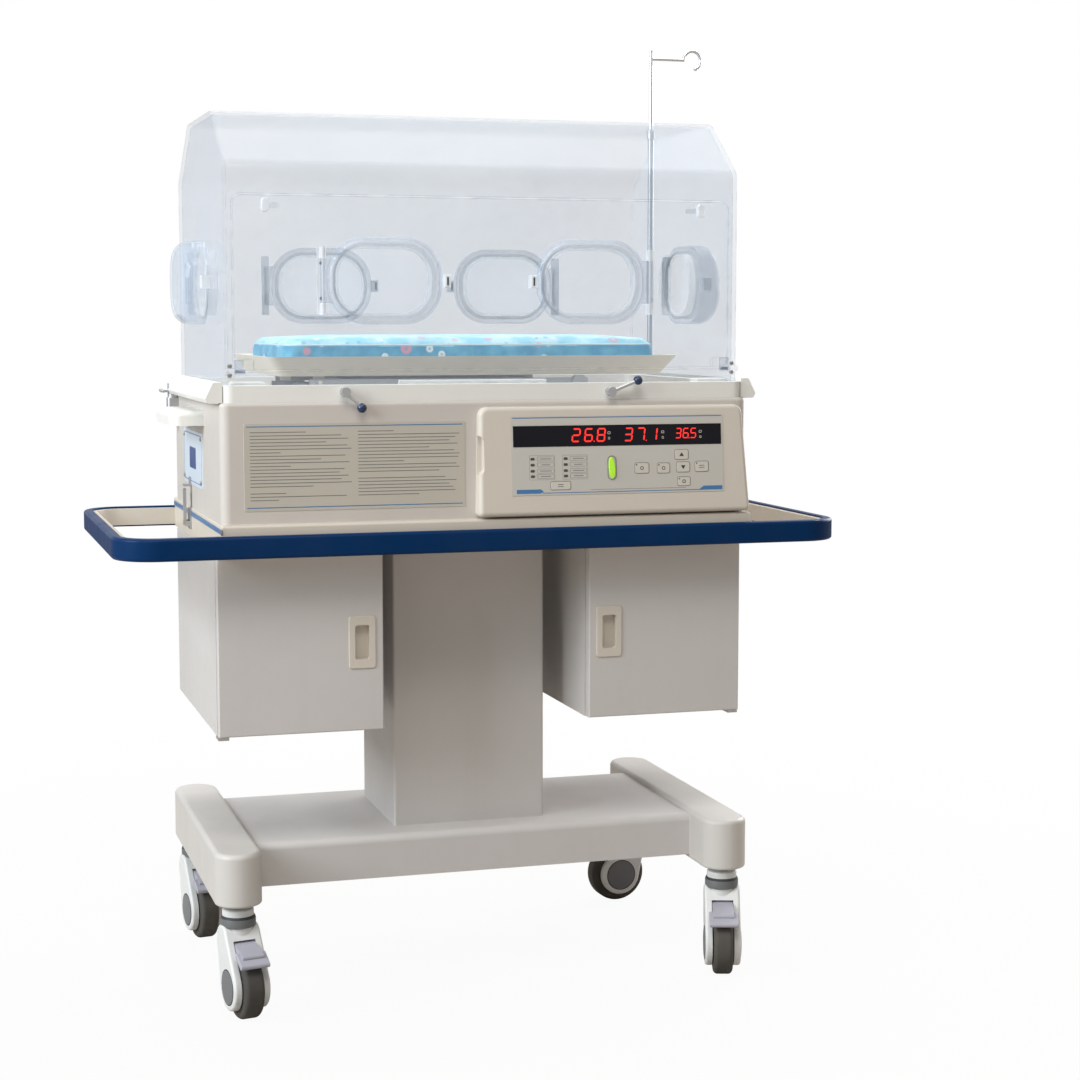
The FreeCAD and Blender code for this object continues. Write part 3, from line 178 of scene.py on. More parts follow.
FLOAT, COLOUR, VECTOR = "NodeSocketFloat", "NodeSocketColor", "NodeSocketVector"


def srgb(red, green, blue):
    """Linear colour from the 0 to 255 values that a screen shows."""
    shades = []
    for value in (red, green, blue):
        share = value / 255
        shades.append(share / 12.92 if share <= 0.04045 else ((share + 0.055) / 1.055) ** 2.4)
    return (*shades, 1.0)


# Shader groups

def new_group(name, inputs, outputs):
    """Empty shader group with named sockets."""
    tree = bpy.data.node_groups.new(name, "ShaderNodeTree")
    for label, kind, value in inputs:
        socket = tree.interface.new_socket(name=label, in_out="INPUT", socket_type=kind)
        socket.default_value = value
    for label, kind in outputs:
        tree.interface.new_socket(name=label, in_out="OUTPUT", socket_type=kind)
    return tree, tree.nodes.new("NodeGroupInput"), tree.nodes.new("NodeGroupOutput")


def add(tree, kind, **settings):
    """New node with its settings."""
    node = tree.nodes.new(kind)
    for key, value in settings.items():
        setattr(node, key, value)
    return node


def place_group(tree, group, **values):
    """Shader group placed in a tree, with its inputs set by constants."""
    node = add(tree, "ShaderNodeGroup", node_tree=bpy.data.node_groups[group])
    for label, value in values.items():
        node.inputs[label.replace("_", " ")].default_value = value
    return node


def join(tree, source, target):
    """Link between two sockets."""
    tree.links.new(source, target)


def feed(tree, value, target):
    """Give a socket a number or a colour, or link another socket to it."""
    if isinstance(value, (int, float, tuple)):
        target.default_value = value
    elif value is not None:
        join(tree, value, target)


def object_space(tree):
    """Place on the piece, which textures follow."""
    return add(tree, "ShaderNodeTexCoord").outputs["Object"]


def math_node(tree, operation, first, second=None, clamp=False):
    """Math node fed by sockets or numbers."""
    node = add(tree, "ShaderNodeMath", operation=operation, use_clamp=clamp)
    feed(tree, first, node.inputs[0])
    feed(tree, second, node.inputs[1])
    return node.outputs[0]


def times(tree, first, second):
    """Product of two values."""
    return math_node(tree, "MULTIPLY", first, second)


def noise(tree, vector, scale, detail=3.0, roughness=0.55):
    """Noise texture on a vector."""
    node = add(tree, "ShaderNodeTexNoise")
    feed(tree, scale, node.inputs["Scale"])
    node.inputs["Detail"].default_value = detail
    node.inputs["Roughness"].default_value = roughness
    join(tree, vector, node.inputs["Vector"])
    return node.outputs["Fac"]


def spread(tree, value, low, high, new_low=0.0, new_high=1.0):
    """Map a value from one range to another, clamped."""
    node = add(tree, "ShaderNodeMapRange", clamp=True)
    join(tree, value, node.inputs["Value"])
    node.inputs["From Min"].default_value = low
    node.inputs["From Max"].default_value = high
    node.inputs["To Min"].default_value = new_low
    node.inputs["To Max"].default_value = new_high
    return node.outputs["Result"]


def blend_colours(tree, factor, first, second):
    """Mix of two colours."""
    node = add(tree, "ShaderNodeMix", data_type="RGBA")
    shares = [s for s in node.inputs if s.name == "Factor" and s.type == "VALUE"]
    colours = [s for s in node.inputs if s.type == "RGBA"]
    feed(tree, factor, shares[0])
    feed(tree, first, colours[0])
    feed(tree, second, colours[1])
    return [s for s in node.outputs if s.type == "RGBA"][0]


def bumped(tree, height, strength, distance):
    """Bump from a height."""
    node = add(tree, "ShaderNodeBump")
    node.inputs["Strength"].default_value = strength
    node.inputs["Distance"].default_value = distance
    join(tree, height, node.inputs["Height"])
    return node.outputs["Normal"]


def edge_mask_group():
    """Mask that is bright along worn outer edges, broken up by noise."""
    tree, start, end = new_group("worn_edges", [("Width", FLOAT, 0.002)], [("Mask", FLOAT)])
    bevel = add(tree, "ShaderNodeBevel", samples=4)
    join(tree, start.outputs["Width"], bevel.inputs["Radius"])
    geometry = add(tree, "ShaderNodeNewGeometry")
    dot = add(tree, "ShaderNodeVectorMath", operation="DOT_PRODUCT")
    join(tree, bevel.outputs["Normal"], dot.inputs[0])
    join(tree, geometry.outputs["Normal"], dot.inputs[1])
    edge = spread(tree, dot.outputs["Value"], 0.995, 0.80)
    patches = spread(tree, noise(tree, object_space(tree), 38.0, 4.0), 0.42, 0.62)
    join(tree, times(tree, edge, patches), end.inputs["Mask"])


def soft_dirt_group():
    """Mask of faint handling marks and dust, stronger low down on the object."""
    tree, start, end = new_group("soft_dirt", [("Amount", FLOAT, 0.3)], [("Mask", FLOAT)])
    spot = object_space(tree)
    split = add(tree, "ShaderNodeSeparateXYZ")
    join(tree, spot, split.inputs[0])
    low = spread(tree, split.outputs["Z"], 0.9, 0.05, 0.35, 1.0)
    cloud = spread(tree, noise(tree, spot, 5.0, 6.0, 0.7), 0.45, 0.75)
    stretch = add(tree, "ShaderNodeMapping")
    stretch.inputs["Scale"].default_value = (30.0, 30.0, 2.2)
    join(tree, spot, stretch.inputs["Vector"])
    streak = spread(tree, noise(tree, stretch.outputs["Vector"], 1.0, 4.0), 0.5, 0.8)
    both = math_node(tree, "ADD", cloud, times(tree, streak, 0.5), clamp=True)
    join(tree, times(tree, times(tree, both, low), start.outputs["Amount"]), end.inputs["Mask"])


def moulded_group():
    """Moulded or coated skin: slight colour drift, fine grain, worn edges and soft dirt."""
    inputs = [
        ("Color", COLOUR, (0.8, 0.8, 0.8, 1.0)), ("Drift", FLOAT, 0.04),
        ("Grain Scale", FLOAT, 900.0), ("Grain Depth", FLOAT, 0.15), ("Roughness", FLOAT, 0.4),
        ("Wear", FLOAT, 0.3), ("Dirt", FLOAT, 0.25),
    ]
    outputs = [("Color", COLOUR), ("Roughness", FLOAT), ("Height", FLOAT)]
    tree, start, end = new_group("moulded_skin", inputs, outputs)
    spot = object_space(tree)
    drift = spread(tree, noise(tree, spot, 2.6, 2.0), 0.3, 0.7, -1.0, 1.0)
    shade = math_node(tree, "ADD", times(tree, drift, start.outputs["Drift"]), 1.0)
    tone = add(tree, "ShaderNodeHueSaturation")
    join(tree, start.outputs["Color"], tone.inputs["Color"])
    join(tree, shade, tone.inputs["Value"])
    dirt = place_group(tree, "soft_dirt")
    join(tree, start.outputs["Dirt"], dirt.inputs["Amount"])
    dusty = blend_colours(tree, times(tree, dirt.outputs["Mask"], 0.5), tone.outputs["Color"],
                          srgb(150, 140, 126))
    worn = place_group(tree, "worn_edges", Width=0.0018)
    wear = times(tree, worn.outputs["Mask"], start.outputs["Wear"])
    join(tree, blend_colours(tree, wear, dusty, srgb(236, 232, 224)), end.inputs["Color"])
    fine = noise(tree, spot, start.outputs["Grain Scale"], 2.0)
    dull = times(tree, dirt.outputs["Mask"], 0.25)
    rough = math_node(tree, "ADD", start.outputs["Roughness"], dull)
    uneven = spread(tree, noise(tree, spot, 24.0, 3.0), 0.3, 0.7, -0.04, 0.04)
    join(tree, math_node(tree, "ADD", rough, uneven, clamp=True), end.inputs["Roughness"])
    join(tree, times(tree, fine, start.outputs["Grain Depth"]), end.inputs["Height"])


def brushed_group():
    """Brushed or drawn metal: fine lines along one axis and small scratches."""
    inputs = [("Along", VECTOR, (600.0, 600.0, 12.0)), ("Roughness", FLOAT, 0.3)]
    outputs = [("Roughness", FLOAT), ("Height", FLOAT)]
    tree, start, end = new_group("brushed_lines", inputs, outputs)
    spot = object_space(tree)
    scale = add(tree, "ShaderNodeVectorMath", operation="MULTIPLY")
    join(tree, spot, scale.inputs[0])
    join(tree, start.outputs["Along"], scale.inputs[1])
    lines = noise(tree, scale.outputs["Vector"], 1.0, 3.0)
    smudge = spread(tree, noise(tree, spot, 35.0, 4.0), 0.35, 0.7, 0.0, 0.12)
    rough = math_node(tree, "ADD", start.outputs["Roughness"], smudge)
    join(tree, math_node(tree, "ADD", rough, times(tree, lines, 0.08)), end.inputs["Roughness"])
    join(tree, lines, end.inputs["Height"])


def weave_group():
    """Plain weave of the mattress cover, as a height."""
    tree, start, end = new_group("woven_cover", [("Thread", FLOAT, 1400.0)], [("Height", FLOAT)])
    scale = add(tree, "ShaderNodeVectorMath", operation="SCALE")
    join(tree, object_space(tree), scale.inputs[0])
    join(tree, start.outputs["Thread"], scale.inputs["Scale"])
    split = add(tree, "ShaderNodeSeparateXYZ")
    join(tree, scale.outputs["Vector"], split.inputs[0])
    waves = [math_node(tree, "SINE", split.outputs[axis]) for axis in "XYZ"]
    product = times(tree, waves[0], math_node(tree, "ADD", waves[1], waves[2]))
    join(tree, math_node(tree, "MULTIPLY_ADD", product, 0.25), end.inputs["Height"])


def print_group():
    """Printed cover: cloudy blue with scattered rings and dots."""
    inputs = [
        ("Ground", COLOUR, srgb(168, 214, 232)), ("Cloud", COLOUR, srgb(208, 236, 244)),
        ("Dots", FLOAT, 0.5),
    ]
    tree, start, end = new_group("printed_cover", inputs, [("Color", COLOUR)])
    spot = object_space(tree)
    cloud = spread(tree, noise(tree, spot, 26.0, 3.0, 0.6), 0.42, 0.6)
    colour = blend_colours(tree, cloud, start.outputs["Ground"], start.outputs["Cloud"])
    for scale, size, ink, seed in ((24.0, 0.24, srgb(226, 150, 168), 0.0),
                                   (31.0, 0.20, srgb(244, 248, 250), 5.0),
                                   (42.0, 0.16, srgb(74, 150, 186), 11.0)):
        shift = add(tree, "ShaderNodeMapping")
        shift.inputs["Location"].default_value = (seed, seed * 0.7, seed * 0.3)
        join(tree, spot, shift.inputs["Vector"])
        cells = add(tree, "ShaderNodeTexVoronoi", feature="F1")
        cells.inputs["Scale"].default_value = scale
        cells.inputs["Randomness"].default_value = 0.8
        join(tree, shift.outputs["Vector"], cells.inputs["Vector"])
        disc = spread(tree, cells.outputs["Distance"], size, size - 0.05)
        heart = spread(tree, cells.outputs["Distance"], size * 0.45, size * 0.45 - 0.05)
        ring = math_node(tree, "SUBTRACT", disc, times(tree, heart, 0.7), clamp=True)
        colour = blend_colours(tree, times(tree, ring, start.outputs["Dots"]), colour, ink)
    join(tree, colour, end.inputs["Color"])


# Materials

def shader(name, **values):
    """New material with its Principled node set by constants."""
    material = bpy.data.materials.new(name)
    material.use_nodes = True
    tree = material.node_tree
    node = tree.nodes["Principled BSDF"]
    for label, value in values.items():
        node.inputs[label.replace("_", " ")].default_value = value
    return material, tree, node


def moulded(name, colour, roughness=0.42, grain=900.0, depth=0.15, drift=0.03, wear=0.25,
            dirt=0.22, coat=0.0, bump=0.25, shine=0.4):
    """Moulded plastic or powder-coated sheet."""
    material, tree, node = shader(name, Coat_Weight=coat, Coat_Roughness=0.25, IOR=1.46,
                                  Specular_IOR_Level=shine)
    skin = place_group(tree, "moulded_skin", Color=colour, Roughness=roughness,
                       Grain_Scale=grain, Grain_Depth=depth, Drift=drift, Wear=wear, Dirt=dirt)
    join(tree, skin.outputs["Color"], node.inputs["Base Color"])
    join(tree, skin.outputs["Roughness"], node.inputs["Roughness"])
    join(tree, bumped(tree, skin.outputs["Height"], bump, 0.0006), node.inputs["Normal"])
    return material


def metal(name, colour, roughness, along=(600.0, 600.0, 12.0), bump=0.05):
    """Steel with brushed or polished skin."""
    material, tree, node = shader(name, Base_Color=colour, Metallic=1.0)
    lines = place_group(tree, "brushed_lines", Along=along, Roughness=roughness)
    join(tree, lines.outputs["Roughness"], node.inputs["Roughness"])
    join(tree, bumped(tree, lines.outputs["Height"], bump, 0.0003), node.inputs["Normal"])
    return material


def clear_plastic(name, tint, face_alpha, edge_alpha, roughness=0.06):
    """Clear sheet: see-through face on, milky at its edges and at grazing angles, faint shadow."""
    material, tree, node = shader(name, Base_Color=tint, IOR=1.49, Roughness=roughness)
    weight = add(tree, "ShaderNodeLayerWeight")
    weight.inputs["Blend"].default_value = 0.35
    grazing = spread(tree, weight.outputs["Facing"], 0.35, 1.0)
    edges = place_group(tree, "worn_edges", Width=0.004)
    spot = object_space(tree)
    haze = spread(tree, noise(tree, spot, 4.0, 4.0, 0.65), 0.35, 0.75, 0.0, 0.05)
    veil = times(tree, math_node(tree, "POWER", grazing, 1.6), edge_alpha - face_alpha)
    total = math_node(tree, "ADD", math_node(tree, "ADD", veil, haze), face_alpha)
    rim = times(tree, edges.outputs["Mask"], 0.35)
    solid = math_node(tree, "ADD", total, rim, clamp=True)
    path = add(tree, "ShaderNodeLightPath")
    eased = times(tree, path.outputs["Is Shadow Ray"], CLEAR_SHADOW_LOSS)
    kept = math_node(tree, "SUBTRACT", 1.0, eased)
    join(tree, times(tree, solid, kept), node.inputs["Alpha"])
    scratches = noise(tree, spot, 320.0, 3.0)
    join(tree, bumped(tree, scratches, 0.04, 0.0003), node.inputs["Normal"])
    return material


def glowing(name, colour, strength):
    """Lit figure or lamp on the display."""
    material, tree, node = shader(name, Base_Color=colour, Emission_Strength=strength,
                                  Roughness=0.35)
    uneven = spread(tree, noise(tree, object_space(tree), 260.0, 2.0), 0.3, 0.7)
    dimmer = tuple(channel * 0.75 for channel in colour[:3]) + (1.0,)
    join(tree, blend_colours(tree, uneven, dimmer, colour), node.inputs["Emission Color"])
    return material


def cover(name, ground, cloud, dots):
    """Printed mattress cover with a woven bump."""
    material, tree, node = shader(name, Roughness=0.62, Sheen_Weight=0.15, Sheen_Roughness=0.5)
    inks = place_group(tree, "printed_cover", Ground=ground, Cloud=cloud, Dots=dots)
    join(tree, inks.outputs["Color"], node.inputs["Base Color"])
    weave = place_group(tree, "woven_cover")
    join(tree, bumped(tree, weave.outputs["Height"], 0.3, 0.0006), node.inputs["Normal"])
    return material


def make_materials():
    """All materials by name."""
    edge_mask_group()
    soft_dirt_group()
    moulded_group()
    brushed_group()
    weave_group()
    print_group()
    return {
        "cabinet": moulded("coated_cabinet", srgb(202, 199, 197), 0.46, 700.0, 0.2, bump=0.3),
        "foot": moulded("foot_plastic", srgb(202, 199, 195), 0.38, 500.0, 0.12),
        "bumper": moulded("bumper_rubber", srgb(0, 44, 88), 0.36, 600.0, 0.2, wear=0.05,
                          dirt=0.06, shine=0.12),
        "deck": moulded("deck_cream", srgb(206, 198, 186), 0.42, 800.0, 0.15),
        "body": moulded("body_cream", srgb(200, 194, 188), 0.44, 800.0, 0.18),
        "display": moulded("display_cream", srgb(208, 201, 190), 0.46, 900.0, 0.2, wear=0.15),
        "face": moulded("display_face", srgb(196, 193, 186), 0.34, 1100.0, 0.12, wear=0.05,
                        dirt=0.08),
        "window": moulded("display_window", srgb(16, 16, 24), 0.2, 300.0, 0.05, wear=0.0,
                          dirt=0.04, shine=0.2),
        "seat": moulded("seat_white", srgb(230, 230, 226), 0.4, 700.0, 0.14, wear=0.1),
        "hood": clear_plastic("clear_hood", srgb(166, 178, 194), 0.13, 0.42),
        "door": clear_plastic("clear_door", srgb(186, 200, 218), 0.17, 0.5),
        "ring": clear_plastic("port_ring", srgb(222, 228, 234), 0.18, 0.4),
        "fitting": clear_plastic("fitting_white", srgb(222, 226, 230), 0.55, 0.85, 0.3),
        "tray": moulded("tray_beige", srgb(244, 238, 222), 0.5, 600.0, 0.15),
        "steel": metal("drawn_steel", srgb(192, 194, 196), 0.34),
        "chrome": metal("polished_steel", srgb(212, 214, 216), 0.16, (300.0, 300.0, 20.0), 0.02),
        "caster": moulded("caster_plastic", srgb(222, 224, 224), 0.36, 500.0, 0.12),
        "pedal": moulded("pedal_grey", srgb(172, 172, 184), 0.45, 500.0, 0.2),
        "tyre": moulded("tyre_grey", srgb(76, 74, 71), 0.62, 400.0, 0.35, wear=0.05, dirt=0.3,
                        bump=0.5, shine=0.2),
        "hub": moulded("hub_grey", srgb(112, 114, 118), 0.45, 500.0, 0.2),
        "collar": moulded("dark_collar", srgb(104, 107, 108), 0.4, 500.0, 0.1, wear=0.1),
        "strip": moulded("blue_strip", srgb(70, 112, 158), 0.36, 700.0, 0.1, wear=0.1),
        "plate": moulded("label_plate", srgb(188, 183, 172), 0.34, 900.0, 0.06, wear=0.05,
                         coat=0.2),
        "plate_grey": moulded("plate_rule", srgb(124, 122, 118), 0.4, 900.0, 0.06, wear=0.0),
        "piping": moulded("mattress_piping", srgb(206, 232, 240), 0.6, 900.0, 0.2, wear=0.0,
                          dirt=0.1),
        "mattress_side": cover("printed_side", srgb(58, 150, 190), srgb(92, 178, 212), 0.85),
        "plate_blue": moulded("plate_line", srgb(70, 120, 170), 0.34, 900.0, 0.06, wear=0.0),
        "plate_dark": moulded("plate_square", srgb(28, 66, 128), 0.34, 900.0, 0.06, wear=0.0),
        "plate_pale": moulded("plate_pale", srgb(206, 218, 230), 0.34, 900.0, 0.06, wear=0.0),
        "ball": moulded("lever_ball", srgb(24, 44, 78), 0.25, 600.0, 0.08, wear=0.05, dirt=0.05,
                        coat=0.4),
        "screw": metal("screw_steel", srgb(176, 176, 174), 0.28, (400.0, 400.0, 400.0)),
        # Dark grey of the hinge screws and collar rims; also painted shade in the vent slots, catch
        # slots and hub grooves.
        "dark": moulded("dark_grey_and_painted_shade", srgb(52, 54, 56), 0.6, 500.0, 0.2, wear=0.0),
        "key": moulded("key_pale", srgb(112, 112, 110), 0.4, 900.0, 0.08, wear=0.0),
        "key_light": moulded("key_light", srgb(204, 200, 190), 0.4, 900.0, 0.08, wear=0.0),
        "key_mark": moulded("key_mark", srgb(52, 56, 66), 0.4, 900.0, 0.08, wear=0.0),
        "lens": moulded("lamp_lens", srgb(66, 66, 64), 0.25, 900.0, 0.08, wear=0.0, coat=0.4),
        "red": glowing("lit_red", srgb(226, 40, 34), 1.5),
        "green": glowing("lit_green", srgb(146, 196, 44), 0.7),
        "mattress": cover("printed_top", srgb(150, 218, 242), srgb(196, 238, 250), 0.55),
    }


# Mesh helpers

def mesh_from(name, build):
    """Mesh filled by a bmesh function, with its faces turned outwards."""
    grid = bmesh.new()
    build(grid)
    bmesh.ops.recalc_face_normals(grid, faces=grid.faces)
    mesh = bpy.data.meshes.new(name)
    grid.to_mesh(mesh)
    grid.free()
    return mesh


def show(name, build, material, body, matrix=None, smooth=True):
    """New piece, drawn in millimetres by a bmesh function and riding on a body."""
    mesh = mesh_from(name, build)
    for corner in mesh.vertices:
        corner.co *= MM
    if matrix is not None:
        mesh.transform(matrix)
    piece = bpy.data.objects.new(name, mesh)
    bpy.context.scene.collection.objects.link(piece)
    mesh.materials.append(FINISH[material])
    if smooth:
        mesh.shade_smooth()
        mesh.set_sharp_from_angle(angle=SHARP_ANGLE)
    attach(piece, body)


def rounded_outline(x0, x1, y0, y1, corner, steps=5):
    """Points round a rectangle with round corners, anticlockwise."""
    corner = min(corner, (x1 - x0) / 2 - 0.01, (y1 - y0) / 2 - 0.01)
    points = []
    for cx, cy, start in ((x1 - corner, y0 + corner, -90), (x1 - corner, y1 - corner, 0),
                          (x0 + corner, y1 - corner, 90), (x0 + corner, y0 + corner, 180)):
        for step in range(steps + 1):
            angle = math.radians(start + 90 * step / steps)
            points.append((cx + corner * math.cos(angle), cy + corner * math.sin(angle)))
    return points


def bridge(grid, lower, upper):
    """Band of faces between two rings with as many points."""
    for index in range(len(lower)):
        after = (index + 1) % len(lower)
        grid.faces.new((lower[index], lower[after], upper[after], upper[index]))


def raise_outline(grid, outline, z0, z1, bevel=0.0):
    """Plate between two heights over an outline, with a small chamfer at the top."""
    rings = [[grid.verts.new((x, y, z0)) for x, y in outline]]
    count = len(outline)
    middle = Vector((sum(x for x, _ in outline) / count, sum(y for _, y in outline) / count))
    if bevel:
        rings.append([grid.verts.new((x, y, z1 - bevel)) for x, y in outline])
    shrunk = []
    for x, y in outline:
        away = Vector((x, y)) - middle
        keep = max(away.length - bevel, 0.01) / max(away.length, 0.01)
        shrunk.append(middle + away * keep)
    rings.append([grid.verts.new((p.x, p.y, z1)) for p in shrunk])
    for lower, upper in zip(rings, rings[1:]):
        bridge(grid, lower, upper)
    grid.faces.new(rings[-1])
    grid.faces.new(list(reversed(rings[0])))


def slab(grid, x0, x1, y0, y1, corner, z0, z1, bevel=0.0, steps=5):
    """Plate with round corners between two heights."""
    raise_outline(grid, rounded_outline(x0, x1, y0, y1, corner, steps), z0, z1, bevel)


def frame_outline(grid, x0, x1, y0, y1, corner, width, z0, z1):
    """Flat frame of one width round a rounded rectangle."""
    outer = rounded_outline(x0, x1, y0, y1, corner)
    inner = rounded_outline(x0 + width, x1 - width, y0 + width, y1 - width,
                            max(corner - width, 0.1))
    loops = [[grid.verts.new((x, y, z)) for x, y in line]
             for line, z in ((outer, z0), (outer, z1), (inner, z1), (inner, z0))]
    for first, second in zip(loops, loops[1:] + loops[:1]):
        bridge(grid, first, second)


def turned_shape(grid, profile, turns):
    """Round shape about the z axis from (radius, height) points; a radius of 0 closes an end."""
    rings = []
    for radius, height in profile:
        if radius < 1e-6:
            rings.append([grid.verts.new((0, 0, height))])
            continue
        angles = [math.tau * i / turns for i in range(turns)]
        rings.append([grid.verts.new((radius * math.cos(angle), radius * math.sin(angle), height))
                      for angle in angles])
    for lower, upper in zip(rings, rings[1:]):
        if len(lower) == len(upper):
            bridge(grid, lower, upper)
            continue
        for index in range(turns):
            after = (index + 1) % turns
            if len(lower) == 1:
                grid.faces.new((lower[0], upper[after], upper[index]))
            else:
                grid.faces.new((lower[index], lower[after], upper[0]))


def show_turned(name, profile, turns, material, body, matrix):
    """New round piece from its profile."""
    def build(grid):
        turned_shape(grid, profile, turns)
    show(name, build, material, body, matrix)


def facing(direction, spot):
    """Matrix that turns a local z axis to a direction and moves it to a spot in millimetres."""
    turn = Vector(direction).to_track_quat("Z", "Y").to_matrix().to_4x4()
    return Matrix.Translation(Vector(spot) * MM) @ turn


def screw_head(name, spot, direction, radius, body, material="screw"):
    """Domed screw head with a cross slot."""
    def build(grid):
        dome = ((1.0, 0), (1.0, 0.35), (0.86, 0.55), (0.5, 0.68), (0, 0.7))
        turned_shape(grid, [(share * radius, height * radius) for share, height in dome], 20)
        for long, wide in ((0.62, 0.13), (0.13, 0.62)):
            slab(grid, -long * radius, long * radius, -wide * radius, wide * radius,
                 0.1 * radius, 0.45 * radius, 0.74 * radius, steps=1)
    show(name, build, material, body, facing(direction, spot))


# The display on the front of the body, in millimetres: x from the part's middle, y up its face

SEGMENTS = {
    "0": "abcdef", "1": "bc", "2": "abged", "3": "abgcd", "4": "fgbc",
    "5": "afgcd", "6": "afgedc", "7": "abc", "8": "abcdefg", "9": "abcdfg",
}

# Figures, lower left corner, width and height of a figure, and the step to the next
READINGS = {
    "reading_left": ("268", 121, 113.4, 11.5, 19, 20.2),
    "reading_middle": ("371", 206, 113.4, 11.5, 19, 20.2),
    "reading_right": ("365", 290, 116.4, 8.2, 14.6, 12.4),
}
POINT_AFTER = 1
UNIT_COLUMNS = (181, 269, 331.5)
UNIT_MARKS = ((126, 2.4), (117.5, 1.6))

# Lamps: the rows, where each column's lamps and labels start, and half the length of each rule
LAMP_ROWS = (87.5, 78.4, 69.0, 60.8)
LAMP_COLUMNS = ((53.5, 64.5), (106.5, 117.0))
LAMP_RULES = (9, 7, 9.5, 8)
LAMP_WIDTH = 6.8
LABEL_WIDTH = 27
BANK_HEIGHTS = (55.5, 93)

# Keys: left, right, lower and upper edge
KEYS = {
    "set_left": (221.7, 245.8, 61.8, 79.1), "set_right": (258.5, 280.2, 61.4, 78.2),
    "up": (288.0, 311.4, 82.2, 98.7), "down": (290.4, 313.4, 62.4, 79.3),
    "hold": (291.7, 313.8, 41.0, 56.0), "mode": (321.2, 344.5, 62.6, 79.9),
    "mute": (84.7, 118.0, 39.2, 53.1),
}
KEY_INSET = 0.8
KEY_RISE = 0.45
MARK_LOW, MARK_HIGH = FACE_OUT + 0.4, FACE_OUT + 0.55

# The lit mains key: middle, half width, lower and upper end, points round it
MAINS_KEY = (184.6, 5.2, 55.2, 88.6, 28)
MAINS_LEAN = 0.06
MAINS_RISE = 2.2
MAINS_RIM = (177.6, 192.0, 53.2, 90.6)
LONG_RULES = ((26, 367, 149.6, 151), (72, 333, 34.6, 35.8))
FINE_RULE = (150, 306, 38.6, 39.2)
CORNER_BARS = (
    ((31, 34.6), (68, 34.6), (74, 37.0), (70, 41), (31, 41)),
    ((331, 34.6), (367, 34.6), (367, 41), (336, 41), (329, 36.5)),
)


def display_matrix():
    """Local frame of the leaning display: x right, y up the face, z out of it."""
    up = Vector((0, math.sin(CASE_LEAN), math.cos(CASE_LEAN)))
    out = Vector((0, -math.cos(CASE_LEAN), math.sin(CASE_LEAN)))
    turn = Matrix((Vector((1, 0, 0)), up, out)).transposed().to_4x4()
    return Matrix.Translation(Vector((0, CASE_FRONT, CASE_BOTTOM)) * MM) @ turn


def display_piece(name, build, material):
    """Piece drawn flat on the display."""
    show(name, build, material, "stand", display_matrix(), smooth=False)


def figure(grid, digit, x, y, width, height):
    """One seven-segment figure that leans to the right."""
    stroke = width * 0.2
    gap = stroke * 0.16
    places = {
        "a": ((0, height), (width, height)), "b": ((width, height), (width, height / 2)),
        "c": ((width, height / 2), (width, 0)), "d": ((0, 0), (width, 0)),
        "e": ((0, height / 2), (0, 0)), "f": ((0, height), (0, height / 2)),
        "g": ((0, height / 2), (width, height / 2)),
    }
    for letter in SEGMENTS[digit]:
        first, last = (Vector(p) for p in places[letter])
        along = (last - first).normalized()
        side = Vector((-along.y, along.x)) * stroke / 2
        first += along * gap
        last -= along * gap
        near, far = first + along * stroke / 2, last - along * stroke / 2
        outline = [first, near + side, far + side, last, far - side, near - side]
        points = [(x + p.x + FIGURE_LEAN * p.y, y + p.y) for p in outline]
        raise_outline(grid, points, WINDOW_OUT, WINDOW_OUT + FIGURE_RISE)


def make_readouts():
    """Three lit readings with decimal points, and small pale unit marks beside them."""
    for name, (figures, x, y, width, height, pitch) in READINGS.items():
        def build(grid):
            for index, digit in enumerate(figures):
                figure(grid, digit, x + index * pitch, y, width, height)
            dot_x = x + POINT_AFTER * pitch + width + (pitch - width) * 0.45
            slab(grid, dot_x - 0.9, dot_x + 0.9, y - 1, y + 0.8, 0.8, WINDOW_OUT,
                 WINDOW_OUT + FIGURE_RISE, steps=3)
        display_piece(name, build, "red")

    def marks(grid):
        for x in UNIT_COLUMNS:
            for y, wide in UNIT_MARKS:
                frame_outline(grid, x - wide, x + wide, y - 2, y + 2, 1.4, 0.7, WINDOW_OUT,
                              WINDOW_OUT + 0.1)
    display_piece("unit_marks", marks, "key_light")


def make_lamps():
    """Two columns of small lamps, each with the frame of its label."""
    low, high = BANK_HEIGHTS

    def frames(grid):
        for _, x in LAMP_COLUMNS:
            for y in LAMP_ROWS:
                frame_outline(grid, x, x + LABEL_WIDTH, y - 3.3, y + 3.3, 1.2, 0.45, FACE_OUT,
                              FACE_OUT + 0.1)
        for x, _ in LAMP_COLUMNS:
            frame_outline(grid, x - 1.6, x + 39, low, high, 1.6, 0.35, FACE_OUT, FACE_OUT + PRINT)
    display_piece("lamp_frames", frames, "key")

    def bars(grid):
        for _, x in LAMP_COLUMNS:
            middle = x + LABEL_WIDTH / 2
            for y, half in zip(LAMP_ROWS, LAMP_RULES):
                slab(grid, middle - half, middle + half, y - 0.55, y + 0.55, 0.4, FACE_OUT,
                     FACE_OUT + FINE_PRINT, steps=2)
    display_piece("lamp_rules", bars, "key")

    def lamps(grid):
        for x, _ in LAMP_COLUMNS:
            for y in LAMP_ROWS:
                slab(grid, x, x + LAMP_WIDTH, y - 2, y + 2, 1.6, FACE_OUT, FACE_OUT + 0.6, 0.4)
    display_piece("lamp_lenses", lamps, "lens")


